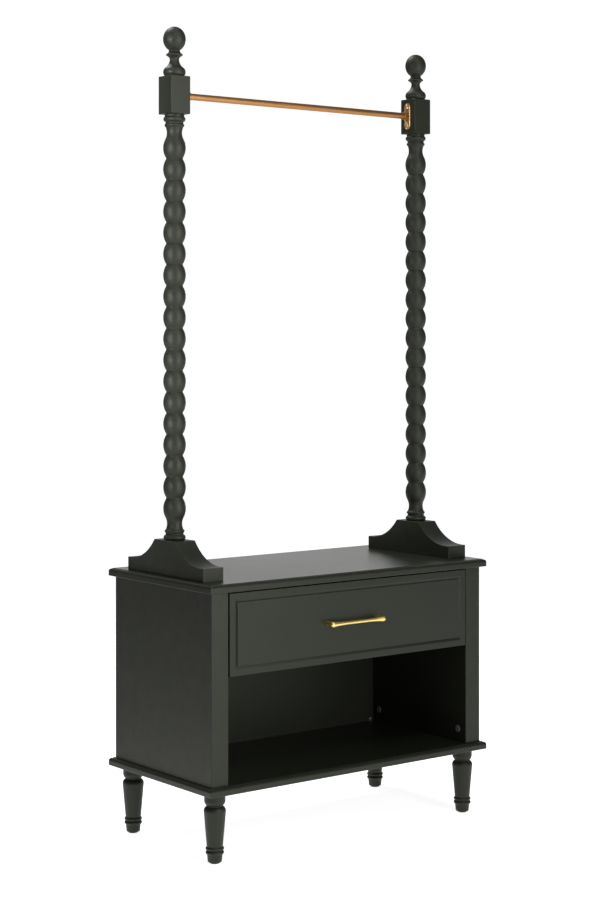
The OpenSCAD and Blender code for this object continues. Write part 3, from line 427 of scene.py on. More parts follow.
def solid_boxes(node, same_place=0.01 * MM):
    """Lowest and highest corner of each separate solid of a CAD node. Corners at one place count as one, and each takes
    the lowest number among the corners of its faces until no number changes."""
    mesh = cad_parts[node].data
    points, faces = np.empty(3 * len(mesh.vertices)), np.empty(len(mesh.loops), int)
    mesh.vertices.foreach_get("co", points)
    mesh.loops.foreach_get("vertex_index", faces)
    points = points.reshape(-1, 3)
    places = np.unique(np.round(points / same_place), axis=0, return_inverse=True)[1].ravel()
    faces = places[faces].reshape(-1, 3)
    number, before = np.arange(places.max() + 1), None
    while before is None or (number != before).any():
        before = number.copy()
        np.minimum.at(number, faces, number[faces].min(axis=1)[:, None])
    solid = number[places]
    return [(points[solid == n].min(axis=0), points[solid == n].max(axis=0)) for n in np.unique(solid)]


# Shader node groups and materials. A Mix node's colours are its inputs 6 and 7, and its output 2.
MIX_A, MIX_B, MIX_RESULT = 6, 7, 2


class Graph:
    """Places nodes in a node tree and joins them. An input is joined to a socket, or set to any other value."""

    def __init__(self, tree):
        self.tree = tree

    def give(self, socket, value):
        if isinstance(value, NodeSocket):
            self.tree.links.new(value, socket)
        else:
            socket.default_value = value

    def node(self, kind, label="", inputs=(), **settings):
        made = self.tree.nodes.new(kind)
        made.label = label
        for key, value in settings.items():
            setattr(made, key, value)
        for key, value in dict(inputs).items():
            self.give(made.inputs[key], value)
        return made

    def group(self, name, label, inputs):
        return self.node("ShaderNodeGroup", label, inputs, node_tree=shared_group(name)).outputs

    def math(self, operation, a, b, label=""):
        return self.node("ShaderNodeMath", label, {0: a, 1: b}, operation=operation).outputs[0]

    def times(self, a, b, label=""):
        return self.math("MULTIPLY", a, b, label)

    def plus(self, a, b, label=""):
        return self.math("ADD", a, b, label)

    def mix(self, share, a, b, label, blend="MIX"):
        inputs = {"Factor": share, MIX_A: a, MIX_B: b}
        return self.node("ShaderNodeMix", label, inputs, data_type="RGBA", blend_type=blend).outputs[MIX_RESULT]

    def tinted(self, colour, tint, label):
        """A colour times a tint."""
        return self.mix(1.0, colour, opaque(tint), label, "MULTIPLY")

    def between(self, value, to_low, to_high, label="", low=0.3, high=0.7, **settings):
        """The stretch from low to high, which for a noise is about all that it covers, carried to another."""
        return self.node("ShaderNodeMapRange", label, {
            "Value": value, "From Min": low, "From Max": high, "To Min": to_low, "To Max": to_high},
            **settings).outputs[0]

    def noise(self, vector, scale, detail, roughness, label, distortion=0.0):
        return self.node("ShaderNodeTexNoise", label, {
            "Vector": vector, "Scale": scale, "Detail": detail, "Roughness": roughness,
            "Distortion": distortion}).outputs["Fac"]

    def mapped(self, vector, label, **inputs):
        """A vector through a Mapping node, with its Location, Rotation or Scale."""
        return self.node("ShaderNodeMapping", label, {"Vector": vector, **inputs}).outputs[0]


def opaque(colour):
    """Colour with full alpha."""
    return (*colour, 1.0)


def edge_light_masks(g, given):
    """Masks of an object's arrises, paled as a painted highlight and smoothed, and of the painted shade in its grooves,
    broken up by a cloudy noise.
    """
    clouds = g.noise(given["Vector"], given["Patches"], 3.0, 0.6, "Patches")
    worn = g.between(clouds, 0.35, 1.0, "Uneven arris highlight", low=0.35)
    uneven_shade = g.between(clouds, 1.0, 0.6, "Uneven groove shade")
    return {
        "Worn": g.times(given["Arris"], worn, "Worn arris"),
        "Dusty": g.times(given["Groove"], uneven_shade, "Dusty groove")}


def wood_grain(g, given):
    """Wood grain along the pattern's Z: long fibres are noise stretched along Z, and the year lines are bands of a slow
    noise, the sine of its value times the number of lines."""
    along = g.mapped(given["Vector"], "Along the fibres", Scale=(420.0, 420.0, 12.0))
    fibres = g.noise(along, given["Fibre Scale"], 4.0, 0.62, "Fibres")
    across = g.mapped(given["Vector"], "Across the years", Scale=(26.0, 26.0, 1.6))
    slow = g.noise(across, 1.0, 2.0, 0.45, "Slow growth", distortion=0.4)
    lines = g.math("SINE", g.times(slow, g.times(given["Year Lines"], 6.2832)), 0.0, "Year lines")
    return {"Fibres": fibres, "Bands": g.between(lines, 0.0, 1.0, "Bands", low=-1.0, high=1.0)}


def satin_paint(g, given):
    """Satin paint: a sprayed skin of fine bumps, a slow change of tone and sheen, arrises paled as a painted highlight
    and grooves darkened as painted shade."""
    paint, worn, dusty = given["Paint"], given["Worn"], given["Dusty"]
    skin = g.noise(given["Vector"], given["Skin Size"], 2.0, 0.55, "Sprayed skin")
    drift = g.noise(given["Vector"], 3.2, 2.0, 0.5, "Slow drift")
    lighter = g.tinted(paint, (1.06, 1.06, 1.05), "Lighter tone")
    darker = g.tinted(paint, (0.94, 0.94, 0.95), "Darker tone")
    toned = g.mix(g.between(drift, 0.0, 1.0, "Tone"), darker, lighter, "Tone drift")
    # Painted highlight: the arrises are paled towards 1.75 times the paint's colour
    pale = g.tinted(paint, (1.75, 1.72, 1.66), "Arris highlight colour")
    edged = g.mix(g.times(worn, 0.55), toned, pale, "Worn arrises")
    # Painted shade: the grooves are darkened towards 0.55 times the paint's colour
    shaded_paint = g.tinted(paint, (0.55, 0.55, 0.55), "Painted groove shade")
    rough = g.plus(given["Sheen"], g.between(drift, -0.012, 0.015, "Sheen drift"))
    rough = g.plus(rough, g.between(skin, -0.02, 0.02, "Skin sheen"))
    rough = g.math("SUBTRACT", rough, g.times(worn, 0.06), "Burnished arrises")
    return {
        "Color": g.mix(g.times(dusty, 0.7), edged, shaded_paint, "Grooves"),
        "Roughness": g.plus(rough, g.times(dusty, 0.18), "Dull grooves"),
        "Height": skin}


def brushed_metal(g, given):
    """Brushed metal: noise stretched along the brush strokes moves the tone, the sheen and the height."""
    metal = given["Metal"]
    strokes = g.noise(given["Vector"], 1.0, 5.0, 0.7, "Brush strokes")
    clouds = g.noise(given["Vector"], 0.035, 2.0, 0.5, "Handling")
    darker = g.tinted(metal, (0.80, 0.77, 0.72), "Deeper tone")
    toned = g.mix(g.between(strokes, 0.0, 0.5, "Stroke tone"), metal, darker, "Stroked metal")
    rough = g.plus(given["Sheen"], g.times(g.between(strokes, -1.0, 1.0), given["Spread"]), "Stroke sheen")
    rough = g.plus(rough, g.between(clouds, -0.02, 0.03, "Handled sheen", low=0.35, high=0.65))
    return {
        # Painted shade: the hollows are darkened towards the deeper tone
        "Color": g.mix(g.times(given["Dusty"], 0.6), toned, darker, "Painted shade in hollows"),
        "Roughness": g.math("SUBTRACT", rough, g.times(given["Worn"], 0.05), "Polished edges"),
        "Height": strokes}


# Each shared node group: what fills it, and its inputs with their defaults
GROUP_PLANS = {
    "edge_light_masks": (edge_light_masks, {"Vector": (0, 0, 0), "Arris": 0.0, "Groove": 0.0, "Patches": 40.0}),
    "wood_grain": (wood_grain, {"Vector": (0, 0, 0), "Fibre Scale": 1.0, "Year Lines": 9.0}),
    "satin_paint": (satin_paint, {
        "Vector": (0, 0, 0), "Paint": (0.03, 0.03, 0.03, 1), "Worn": 0.0, "Dusty": 0.0, "Sheen": 0.42,
        "Skin Size": 520.0}),
    "brushed_metal": (brushed_metal, {
        "Vector": (0, 0, 0), "Metal": (0.8, 0.8, 0.8, 1), "Sheen": 0.3, "Spread": 0.08, "Worn": 0.0, "Dusty": 0.0}),
}
GROUPS = {}


def socket_kind(default):
    """Kind of socket for a default: a number, a vector of three or a colour of four."""
    count = len(default) if isinstance(default, tuple) else 1
    return {1: "NodeSocketFloat", 3: "NodeSocketVector", 4: "NodeSocketColor"}[count]


def shared_group(name):
    """The node group of this name, made when it is first asked for."""
    if name not in GROUPS:
        fill, inputs = GROUP_PLANS[name]
        tree = GROUPS[name] = bpy.data.node_groups.new(name, "ShaderNodeTree")
        for socket, default in inputs.items():
            made = tree.interface.new_socket(socket, in_out="INPUT", socket_type=socket_kind(default))
            made.default_value = default
        results = fill(Graph(tree), tree.nodes.new("NodeGroupInput").outputs)
        for socket in results:
            kind = "NodeSocketColor" if socket == "Color" else "NodeSocketFloat"
            tree.interface.new_socket(socket, in_out="OUTPUT", socket_type=kind)
        out = tree.nodes.new("NodeGroupOutput").inputs
        for socket, value in results.items():
            tree.links.new(value, out[socket])
    return GROUPS[name]


class Finish(Graph):
    """A new material. Its patterns read Object coordinates through Mapping nodes, and its edge masks are ready."""

    def __init__(self, name, **direction):
        self.material = bpy.data.materials.new(name)
        self.material.use_nodes = True
        super().__init__(self.material.node_tree)
        self.shader = self.tree.nodes["Principled BSDF"]
        place = self.node("ShaderNodeTexCoord", "Place").outputs["Object"]
        self.plain = self.mapped(place, "Pattern place", Location=direction.get("Location", (0, 0, 0)))
        self.laid = self.mapped(place, "Pattern direction", **direction)
        # The edge masks: arrises paled as a painted highlight and smoothed, and grooves darkened as painted shade
        edge_marks = self.group("edge_light_masks", "Edge light masks", {
            "Vector": self.plain, "Arris": self.mask("arris", "Arrises"), "Groove": self.mask("groove", "Grooves")})
        self.worn, self.dusty = edge_marks["Worn"], edge_marks["Dusty"]

    def mask(self, attribute, label):
        return self.node("ShaderNodeAttribute", label, attribute_name=attribute).outputs["Fac"]

    def shaded(self, colour, roughness, height, relief, **constants):
        """Joins the worked-out values to the shader, the height through a Bump node, and sets its constant sockets."""
        bump = self.node("ShaderNodeBump", "Relief", {"Height": height, "Distance": relief, "Strength": 1.0})
        values = {"Base Color": colour, "Roughness": roughness, "Normal": bump.outputs["Normal"]}
        for socket, value in {**values, **constants}.items():
            self.give(self.shader.inputs[socket.replace("_", " ")], value)
        return self.material


def painted_material(name, finishes, sheen, gloss=0.4, grain=0.0, rings=0.0, **direction):
    """Satin paint over board or turned wood. Grain shows through faintly along the pattern's Z, rings run round a
    turning, and both are shares of the paint's own relief."""
    g = Finish(name, **direction)
    paint = g.group("satin_paint", "Paint", {
        "Vector": g.plain, "Worn": g.worn, "Dusty": g.dusty, "Paint": opaque(finishes.paint), "Sheen": sheen})
    height = paint["Height"]
    if grain:
        fibres = g.group("wood_grain", "Grain under the paint", {"Vector": g.laid})["Fibres"]
        height = g.plus(height, g.times(fibres, grain), "Skin and grain")
    if rings:
        around = g.mapped(g.plain, "Round the turning", Scale=(2.0, 2.0, 1400.0))
        marks = g.noise(around, 1.0, 3.0, 0.6, "Turning marks")
        height = g.plus(height, g.times(marks, rings), "Skin and turning marks")
    return g.shaded(paint["Color"], paint["Roughness"], height, finishes.film_texture,
                    Specular_IOR_Level=gloss, Specular_Tint=(0.97, 1, 0.88, 1))


def metal_material(name, finishes, metal, sheen, spread, relief, strokes):
    """Brushed or satin metal. The strokes are as fine as their scale makes them along each axis."""
    g = Finish(name, Scale=strokes)
    brushed = g.group("brushed_metal", "Metal", {
        "Vector": g.laid, "Worn": g.worn, "Dusty": g.dusty, "Metal": opaque(getattr(finishes, metal)), "Sheen": sheen,
        "Spread": spread})
    return g.shaded(brushed["Color"], brushed["Roughness"], brushed["Height"], relief, Metallic=1.0)


def board_material(name, finishes, wood, contrast=0.12, sheen=0.5, **direction):
    """Wood or wood-printed foil: year bands and fibres along the pattern's Z move the tone and the sheen."""
    g = Finish(name, **direction)
    colour = getattr(finishes, wood)
    grain = g.group("wood_grain", "Grain", {"Vector": g.laid})
    darker = opaque(c * (1 - 2 * contrast) for c in colour)
    # Painted highlight: the arrises are paled towards 1.3 times the board's colour
    highlit_edge = opaque(min(c * 1.3, 1) for c in colour)
    banded = g.mix(grain["Bands"], opaque(colour), darker, "Year bands")
    fibred = g.mix(g.between(grain["Fibres"], 0.0, 0.6, "Fibre tone", low=0.35), banded, darker, "Fibres")
    edged = g.mix(g.times(g.worn, 0.4), fibred, highlit_edge, "Worn arrises")
    rough = g.between(grain["Fibres"], sheen - 0.05, sheen + 0.06, "Fibre sheen")
    return g.shaded(edged, rough, grain["Fibres"], 0.03 * MM, Specular_IOR_Level=0.4)


def plastic_material(name, finishes):
    """Moulded plastic with a fine spark-eroded grain and edges paled as a painted highlight."""
    g = Finish(name)
    # The darker colour is a random tone; the paler one, 1.6 times the plastic's colour, is a painted highlight on the
    # edges
    darker, highlit_edge = (opaque(c * share for c in finishes.plastic) for share in (0.85, 1.6))
    grain = g.noise(g.plain, 1600.0, 2.0, 0.6, "Moulded grain")
    cloud = g.noise(g.plain, 60.0, 2.0, 0.5, "Uneven tone")
    toned = g.mix(g.between(cloud, 0.0, 1.0), darker, opaque(finishes.plastic), "Tone")
    edged = g.mix(g.times(g.worn, 0.5), toned, highlit_edge, "Painted highlight on edges")
    rough = g.between(grain, 0.46, 0.58, "Grain sheen")
    return g.shaded(edged, rough, grain, 0.02 * MM, Specular_IOR_Level=0.4)


# Turns that lay the grain, which runs along a pattern's Z, across the rack and along its depth
ACROSS, IN_DEPTH = (0, QUARTER, 0), (QUARTER, 0, 0)

# Each finish: the record's slot, what makes it, the material's name and its values
FINISHES = {
    "board": ("painted_wood", painted_material, "painted_board",
              dict(sheen=0.35, gloss=0.36, grain=0.35, Rotation=ACROSS)),
    "side": ("painted_wood", painted_material, "painted_side",
             dict(sheen=0.46, gloss=0.35, grain=0.3, Location=(0.4, 0.2, 0.1))),
    "turned": ("painted_wood", painted_material, "painted_turning", dict(sheen=0.52, grain=0.5, rings=0.35)),
    "block": ("painted_wood", painted_material, "painted_block", dict(sheen=0.5, grain=0.8)),
    "base": ("painted_wood", painted_material, "painted_base", dict(sheen=0.5, grain=0.8, Rotation=IN_DEPTH)),
    "inside": ("painted_wood", painted_material, "painted_inside", dict(sheen=0.5)),
    "foil": ("drawer_board", board_material, "foil_board", dict(wood="foil_board", Rotation=IN_DEPTH)),
    "foil_across": ("drawer_board", board_material, "foil_board_across", dict(wood="foil_board", Rotation=ACROSS)),
    "beech": ("dowel_wood", board_material, "bare_beech", dict(wood="beech", contrast=0.16, sheen=0.62)),
    "plastic": ("plastic_fittings", plastic_material, "moulded_plastic", {}),
    "rod": ("gold_metal", metal_material, "rod_gold", dict(
        metal="rod_gold", sheen=0.46, spread=0.07, relief=0.002 * MM, strokes=(25.0, 1500.0, 1500.0))),
    "handle": ("gold_metal", metal_material, "handle_gold", dict(
        metal="fitting_gold", sheen=0.34, spread=0.05, relief=0.001 * MM, strokes=(60.0, 1200.0, 1200.0))),
    "plate": ("gold_metal", metal_material, "plate_gold", dict(
        metal="plate_gold", sheen=0.28, spread=0.04, relief=0.0005 * MM, strokes=(900.0, 900.0, 90.0))),
    "zinc": ("zinc_steel", metal_material, "zinc_plate", dict(
        metal="zinc", sheen=0.36, spread=0.08, relief=0.003 * MM, strokes=(420.0, 420.0, 420.0))),
    "rolled_zinc": ("zinc_steel", metal_material, "rolled_zinc", dict(
        metal="zinc", sheen=0.32, spread=0.1, relief=0.003 * MM, strokes=(1300.0, 16.0, 1300.0))),
}
MATERIALS = {}


def material_for(use):
    """The finished material for a use, made when it is first asked for."""
    if use not in MATERIALS:
        _, make, name, values = FINISHES[use]
        MATERIALS[use] = make(name, bpy.context.scene.rack_finishes, **values)
    return MATERIALS[use]


# Forms of this rack


def slab_between(low, high, radii, end_radius):
    """An upright board between two corners: a rounded rectangle run along Z with its ends eased."""
    half = (high - low) / 2
    surface = moulded(half[0], half[1], radii, rounded_end(end_radius, high[2] - low[2]))
    return placed(surface, ((low[0] + high[0]) / 2, (low[1] + high[1]) / 2, low[2]))


def board_profile(sizes, thickness):
    """Edge of a board from below: a small round, a straight face, a quarter round and a step, as (inset, height)."""
    ease, step, radius = SANDED_EDGE, sizes.moulding_step, sizes.moulding_radius
    round_start = thickness - step - radius
    angle = np.linspace(0, QUARTER, 13)
    quarter = np.stack([radius * (1 - np.cos(angle)), round_start + radius * np.sin(angle)], axis=1)
    shelf = radius + step / 2
    below = np.array([[FACE_RUN, 0], [ease, 0], [0, ease]])
    above = np.array([[shelf, thickness - step], [shelf, thickness], [shelf + FACE_RUN, thickness]])
    return filmed_line(np.concatenate([below, quarter, above]), sizes.paint_film)


def bead_radius(sizes, offset):
    """Radius of a bead at a height above its middle: a circle's arc through the groove diameter at both ends."""
    drop = (sizes.bead_diameter - sizes.groove_diameter) / 2
    arc = (sizes.bead_pitch ** 2 / 4 + drop ** 2) / (2 * drop)
    return sizes.bead_diameter / 2 - arc + np.sqrt(arc ** 2 - offset ** 2)


def post_profile(sizes, low, high):
    """Outline of a bobbin turning between two heights: rings and a hollow at each end, and the row of beads between
    them. In the row each radius is the bead's arc at the distance from the nearest bead's middle."""
    collar, fillet, points_a_bead = 5.5 * MM, 19.8 * MM, 24
    run = (sizes.bead_count - 1) * sizes.bead_pitch
    turning = (high - collar - low - run) / 2
    shoulder = 0.43 * sizes.bead_pitch
    end = outline([
        (fillet + 1.6 * MM, 0),
        (fillet + 1.2 * MM, 0.161 * turning, 3.5 * MM),
        (fillet, 0.176 * turning),
        (fillet, 0.225 * turning),
        (fillet, 0.330 * turning, 2.4 * MM),
        (fillet - 0.5 * MM, 0.343 * turning),
        (bead_radius(sizes, shoulder), turning - shoulder, -2.7 * MM),
    ])
    height = np.linspace(-shoulder, run + shoulder, points_a_bead * sizes.bead_count)
    nearest = np.clip(np.round(height / sizes.bead_pitch), 0, sizes.bead_count - 1)
    beads = np.stack([bead_radius(sizes, height - nearest * sizes.bead_pitch), low + turning + height], axis=1)
    top = high - collar
    start = end + [0, low]
    finish = np.stack([end[::-1, 0], top - end[::-1, 1]], axis=1)
    neck = np.array([[fillet + 2 * MM, top + 0.3 * MM], [fillet + 2 * MM, high + 1 * MM]])
    return filmed_line(np.concatenate([start, beads, finish, neck]), sizes.paint_film)


def leg_profile(sizes, low, high):
    """Outline of a leg: foot, two rings, a taper, a shoulder, a neck and a top ring."""
    steps = [
        (11 * MM, low), (13.9 * MM, low), (15.5 * MM, low + 2.2 * MM, 0.5 * MM), (16.8 * MM, 0.121 * high),
        (17.5 * MM, 0.132 * high), (17.5 * MM, 0.182 * high, 2.5 * MM), (17.5 * MM, 0.189 * high),
        (17.5 * MM, 0.239 * high, 2.5 * MM), (17.5 * MM, 0.246 * high), (23.9 * MM, 0.725 * high),
        (18.2 * MM, 0.812 * high, 2.4 * MM), (18.2 * MM, 0.824 * high), (23 * MM, 0.905 * high, 1.7 * MM),
        (23 * MM, high),
    ]
    return filmed_line(outline(steps), sizes.paint_film)


def finial_profile(sizes, low, high):
    """Outline of a finial: a round foot, a waist, a rim, a neck and an egg-shaped ball that closes on the axis. Each
    row is a radius in millimetres, a share of the height up to the ball's neck, and a bulge in millimetres."""
    ball_radius, ball_half, neck_radius = 25.3 * MM, 28 * MM, 12.2 * MM
    ball_middle = high - ball_half
    neck_turn = math.acos(neck_radius / ball_radius)
    neck = ball_middle - ball_half * math.sin(neck_turn) - low
    rows = [
        (20.6, 0, 0), (20.6, 0.329, 4.5), (11.3, 0.551, -1.6), (10.3, 0.645, -0.2), (11.4, 0.709, -0.1),
        (17.8, 0.79, -0.5), (18.7, 0.814, 0), (18.5, 0.842, 0), (13.1, 0.929, -0.4), (12.2, 0.981, 0), (12.2, 1, 0),
    ]
    lower = outline([(radius * MM, low + share * neck, bulge * MM) for radius, share, bulge in rows])
    turn = np.linspace(-neck_turn, QUARTER, 40)[1:]
    ball = np.stack([ball_radius * np.cos(turn), ball_middle + ball_half * np.sin(turn)], axis=1)
    ball[-1, 0] = 0
    profile = filmed_line(np.concatenate([lower, ball]), sizes.paint_film)
    profile[-1] = (0, high)
    return profile


def base_rings(sizes, low, high):
    """Outline of a base block in the YZ plane, drawn in from its ends: two toes, two hollows that are arcs, a flat top.
    The rings stand along X, and each is the outline moved in along its mitres by a quarter circle's inset."""
    half = (high[1] - low[1]) / 2
    toe, rise = sizes.toe_height, high[2] - low[2]
    flat = sizes.hollow_length / 2
    run = half - sizes.toe_length - flat
    hollow = (run ** 2 + (rise - toe) ** 2) / (2 * (rise - toe))
    sweep = np.linspace(0, math.asin(run / hollow), 25)
    arc = np.stack([half - sizes.toe_length - hollow * np.sin(sweep), toe + hollow * (1 - np.cos(sweep))], axis=1)
    side = np.concatenate([[[half, 0], [half, toe]], arc])
    line = np.concatenate([side, side[::-1] * [-1, 1]])
    before, after = line - np.roll(line, 1, axis=0), np.roll(line, -1, axis=0) - line
    normals = [np.stack([d[:, 1], -d[:, 0]], axis=1) / np.linalg.norm(d, axis=1)[:, None] for d in (before, after)]
    mitre = (normals[0] + normals[1]) / (1 + (normals[0] * normals[1]).sum(axis=1))[:, None]
    profile = rounded_end(sizes.edge_radius, high[0] - low[0])
    rings = line[None] - profile[:, :1, None] * mitre[None]
    soft = filmed(np.concatenate([line[None], rings]), sizes.paint_film, closed=True)[1:]
    x = np.broadcast_to((low[0] + profile[:, 1])[:, None], soft.shape[:2])
    return np.stack([x, soft[..., 0] + (low[1] + high[1]) / 2, soft[..., 1] + low[2]], axis=-1)


def screw_head(radius, height, drive="cross", depth=0.5, segments=FITTING_SEGMENTS):
    """A domed screw head over a polar grid: its height is height * (1 - fall * share ** steepness), and it falls by the
    recess depth where a point lies inside the drive: the two arms of a cross, or a hexagon, whose reach is max(p . n)
    over its three directions n."""
    fall, steepness = 0.55, 2.6
    share = np.concatenate([np.linspace(0.04, 0.55, 18), np.linspace(0.6, 1, 9)])
    angle = round_angles(segments)
    across, along = share[:, None] * np.cos(angle), share[:, None] * np.sin(angle)
    if drive == "cross":
        reach, breadth = np.maximum(abs(across), abs(along)), np.minimum(abs(across), abs(along))
        inside = (1 - ramp(reach, 0.36, 0.48)) * (1 - ramp(breadth, 0.08, 0.15))
    else:
        turns = np.arange(3) * math.pi / 3
        reach = abs(across[..., None] * np.cos(turns) + along[..., None] * np.sin(turns)).max(axis=-1)
        inside = 1 - ramp(reach, 0.33, 0.38)
    z = height * (1 - fall * share[:, None] ** steepness - depth * inside)
    points = radius * np.concatenate([share, [1.0]])[:, None, None] * np.stack([np.cos(angle), np.sin(angle)], axis=-1)
    rises = np.concatenate([z, np.zeros((1, segments))])
    points = np.concatenate([points, rises[..., None]], axis=-1)[::-1]
    centre, last = points.shape[0] * segments, (points.shape[0] - 1) * segments + np.arange(segments)
    fan = np.stack([np.full(segments, centre), last, np.roll(last, -1)], axis=1)
    points = np.concatenate([points.reshape(-1, 3), [[0, 0, height * (1 - depth)]]])
    return points, ring_faces(len(share) + 1, segments), fan, [np.arange(segments)[::-1]]


def pan_screw(head_radius, head_height, shank_radius, length):
    """A pan-head screw along Z: the head stands on 0, and the shank runs down from it to its point at -length."""
    shank = revolved(np.array([
        (0, -length), (0.5 * shank_radius, 0.6 * shank_radius - length), (shank_radius, 2 * shank_radius - length),
        (shank_radius, 0.4 * head_height)]), SHANK_SEGMENTS)
    return joined(screw_head(head_radius, head_height), shank)


# Operators


class RackOperator:
    """What the operators of this rack share."""

    bl_options = {"REGISTER", "UNDO"}


class RACK_OT_boards(RackOperator, Operator):
    """Make the top and the bottom board with their moulded edges"""

    bl_idname = "rack.boards"
    bl_label = "Top and Bottom Boards"

    def execute(self, context):
        for node in ("top_board", "bottom_board"):
            low, high, middle = node_box(node)
            half = (high - low) / 2
            profile = board_profile(context.scene.rack_sizes, high[2] - low[2])
            surface = moulded(half[0], half[1], [BOARD_CORNER] * 4, profile)
            make_piece(f"{node}_moulded", placed(surface, (middle[0], middle[1], low[2])), "board", node)
        return {"FINISHED"}


class RACK_OT_sides(RackOperator, Operator):
    """Make the side panels and the stiles at the corners of the body"""

    bl_idname = "rack.sides"
    bl_label = "Sides and Stiles"

    def execute(self, context):
        sizes = context.scene.rack_sizes
        soft, joint = sizes.edge_radius, sizes.joint_radius
        for side in SIDES:
            low, high, _ = node_box(f"{side}_side_panel")
            make_piece(f"{side}_side_skin", slab_between(low, high, [joint] * 4, joint), "side", f"{side}_side_panel")
            for end in ENDS:
                low, high, _ = node_box(f"{side}_{end}_stile")
                outer, inner = STILE_CORNERS[f"{side}_{end}"]
                radii = [joint] * 4
                radii[outer], radii[inner] = soft, 0.7 * soft
                make_piece(f"{side}_{end}_stile_board", slab_between(low, high, radii, joint), "side",
                           f"{side}_{end}_stile")
        return {"FINISHED"}


class RACK_OT_legs(RackOperator, Operator):
    """Turn the four legs"""

    bl_idname = "rack.legs"
    bl_label = "Legs"

    def execute(self, context):
        for node in (f"{side}_{end}_leg" for side in SIDES for end in ENDS):
            low, high, middle = node_box(node)
            leg = revolved(leg_profile(context.scene.rack_sizes, low[2], high[2]))
            make_piece(f"{node}_turned", stood(leg, middle), "turned", node)
        return {"FINISHED"}


class RACK_OT_post_bases(RackOperator, Operator):
    """Cut the two hollowed base blocks of the posts"""

    bl_idname = "rack.post_bases"
    bl_label = "Post Bases"

    def execute(self, context):
        for side in SIDES:
            low, high, _ = node_box(f"{side}_post_base")
            rings = base_rings(context.scene.rack_sizes, low, high)
            make_piece(f"{side}_base_block", stacked(rings), "base", f"{side}_post_base")
        return {"FINISHED"}


class RACK_OT_posts(RackOperator, Operator):
    """Turn the two beaded posts and their square blocks"""

    bl_idname = "rack.posts"
    bl_label = "Posts"

    def execute(self, context):
        sizes = context.scene.rack_sizes
        for side in SIDES:
            low, high, middle = node_box(f"{side}_post")
            block_low = np.array([low[0], low[1], high[2] - POST_BLOCK_HEIGHT])
            shaft = stood(revolved(post_profile(sizes, low[2], block_low[2])), middle)
            make_piece(f"{side}_post_turned", shaft, "turned", f"{side}_post")
            block = slab_between(block_low, high, [sizes.edge_radius] * 4, sizes.edge_radius)
            make_piece(f"{side}_post_block", block, "block")
        return {"FINISHED"}


class RACK_OT_finials(RackOperator, Operator):
    """Turn the two ball finials"""

    bl_idname = "rack.finials"
    bl_label = "Finials"

    def execute(self, context):
        for side in SIDES:
            low, high, middle = node_box(f"{side}_finial")
            finial = revolved(finial_profile(context.scene.rack_sizes, low[2], high[2]))
            make_piece(f"{side}_finial_turned", stood(finial, middle), "turned", f"{side}_finial")
        return {"FINISHED"}


class RACK_OT_rod(RackOperator, Operator):
    """Make the hanging rod, its two oval plates and their screws"""

    bl_idname = "rack.rod"
    bl_label = "Rod and Plates"

    def execute(self, context):
        low, high, middle = node_box("hanging_rod")
        outer = (high[2] - low[2]) / 2
        inner, ease, length = outer - ROD_WALL, 0.4 * MM, high[0] - low[0]
        wall = np.array([
            (inner + ease, 0), (outer - ease, 0), (outer, ease), (outer, length / 2), (outer, length - ease),
            (outer - ease, length), (inner + ease, length), (inner, length - ease), (inner, length / 2), (inner, ease)])
        tube = revolved(wall, FITTING_SEGMENTS, closed=True)
        make_piece("rod_tube", placed(tube, (low[0], middle[1], middle[2]), to_side(1)), "rod", "hanging_rod")
        heads = []
        for side, sign in zip(SIDES, (-1, 1)):
            low, high, middle = node_box(f"{side}_rod_bracket")
            back = high[0] if sign > 0 else low[0]
            at, axes = (back, middle[1], middle[2]), ((0, 0, 1), (0, 1, 0), (-sign, 0, 0))
            plate = self.plate((high[2] - low[2]) / 2, (high[1] - low[1]) / 2)
            make_piece(f"{side}_rod_plate", placed(plate, at, axes), "plate", f"{side}_rod_bracket")
            make_piece(f"{side}_rod_socket", placed(self.socket(outer, abs(high[0] - low[0])), at, axes), "rod")
            face = back - sign * (PLATE_THICKNESS - PLATE_SEAT)
            for z in (-PLATE_SCREW_REACH, PLATE_SCREW_REACH):
                head = screw_head(5.5 * MM, 3.2 * MM, drive="hexagon")
                heads.append(placed(head, (face, middle[1], middle[2] + z), axes))
        make_piece("plate_screw_heads", joined(*heads), "plate", "rod_bracket_screws")
        return {"FINISHED"}

    def plate(self, tall, wide):
        """An oval plate with a raised rim: its rim is a moulding run round a rectangle with fully rounded ends."""
        thick, seat = PLATE_THICKNESS, PLATE_SEAT
        rim = np.array([
            (0, 0), (0, thick - 0.9 * MM), (0.3 * MM, thick - 0.2 * MM), (0.9 * MM, thick),
            (1.6 * MM, thick - 0.1 * MM), (2.2 * MM, thick - seat), (4.5 * MM, thick - seat)])
        return moulded(tall, wide, [wide] * 4, filmed_line(rim, 0.2 * MM, step=1 * MM), corner_steps=17)

    def socket(self, rod_radius, reach):
        """A ring round the rod's end, with an eased mouth."""
        bore, mouth = rod_radius + 0.1 * MM, rod_radius + 1.7 * MM
        return revolved(np.array([
            (bore, 1 * MM), (mouth, 1 * MM), (mouth, reach - 0.7 * MM), (mouth - 0.2 * MM, reach - 0.2 * MM),
            (mouth - 0.7 * MM, reach), (bore + 0.3 * MM, reach), (bore, reach - 0.3 * MM)]),
            FITTING_SEGMENTS, closed=True)


class RACK_OT_drawer_front(RackOperator, Operator):
    """Make the drawer front with its border and sloping groove"""

    bl_idname = "rack.drawer_front"
    bl_label = "Drawer Front"

    def execute(self, context):
        sizes = context.scene.rack_sizes
        low, high, middle = node_box("drawer_front")
        thick = high[1] - low[1]
        inner = sizes.border_width + sizes.bevel_width
        profile = filmed_line([
            (FACE_RUN, 0), (0, 0), (0, thick), (sizes.border_width, thick), (inner, thick - sizes.bevel_depth),
            (inner, thick), (inner + 8 * MM, thick)], sizes.paint_film)
        front = moulded((high[0] - low[0]) / 2, (high[2] - low[2]) / 2, [DRAWER_CORNER] * 4, profile)
        make_piece("drawer_front_panel", placed(front, (middle[0], high[1], middle[2]), TO_FRONT), "board",
                   "drawer_front", body="drawer")
        return {"FINISHED"}


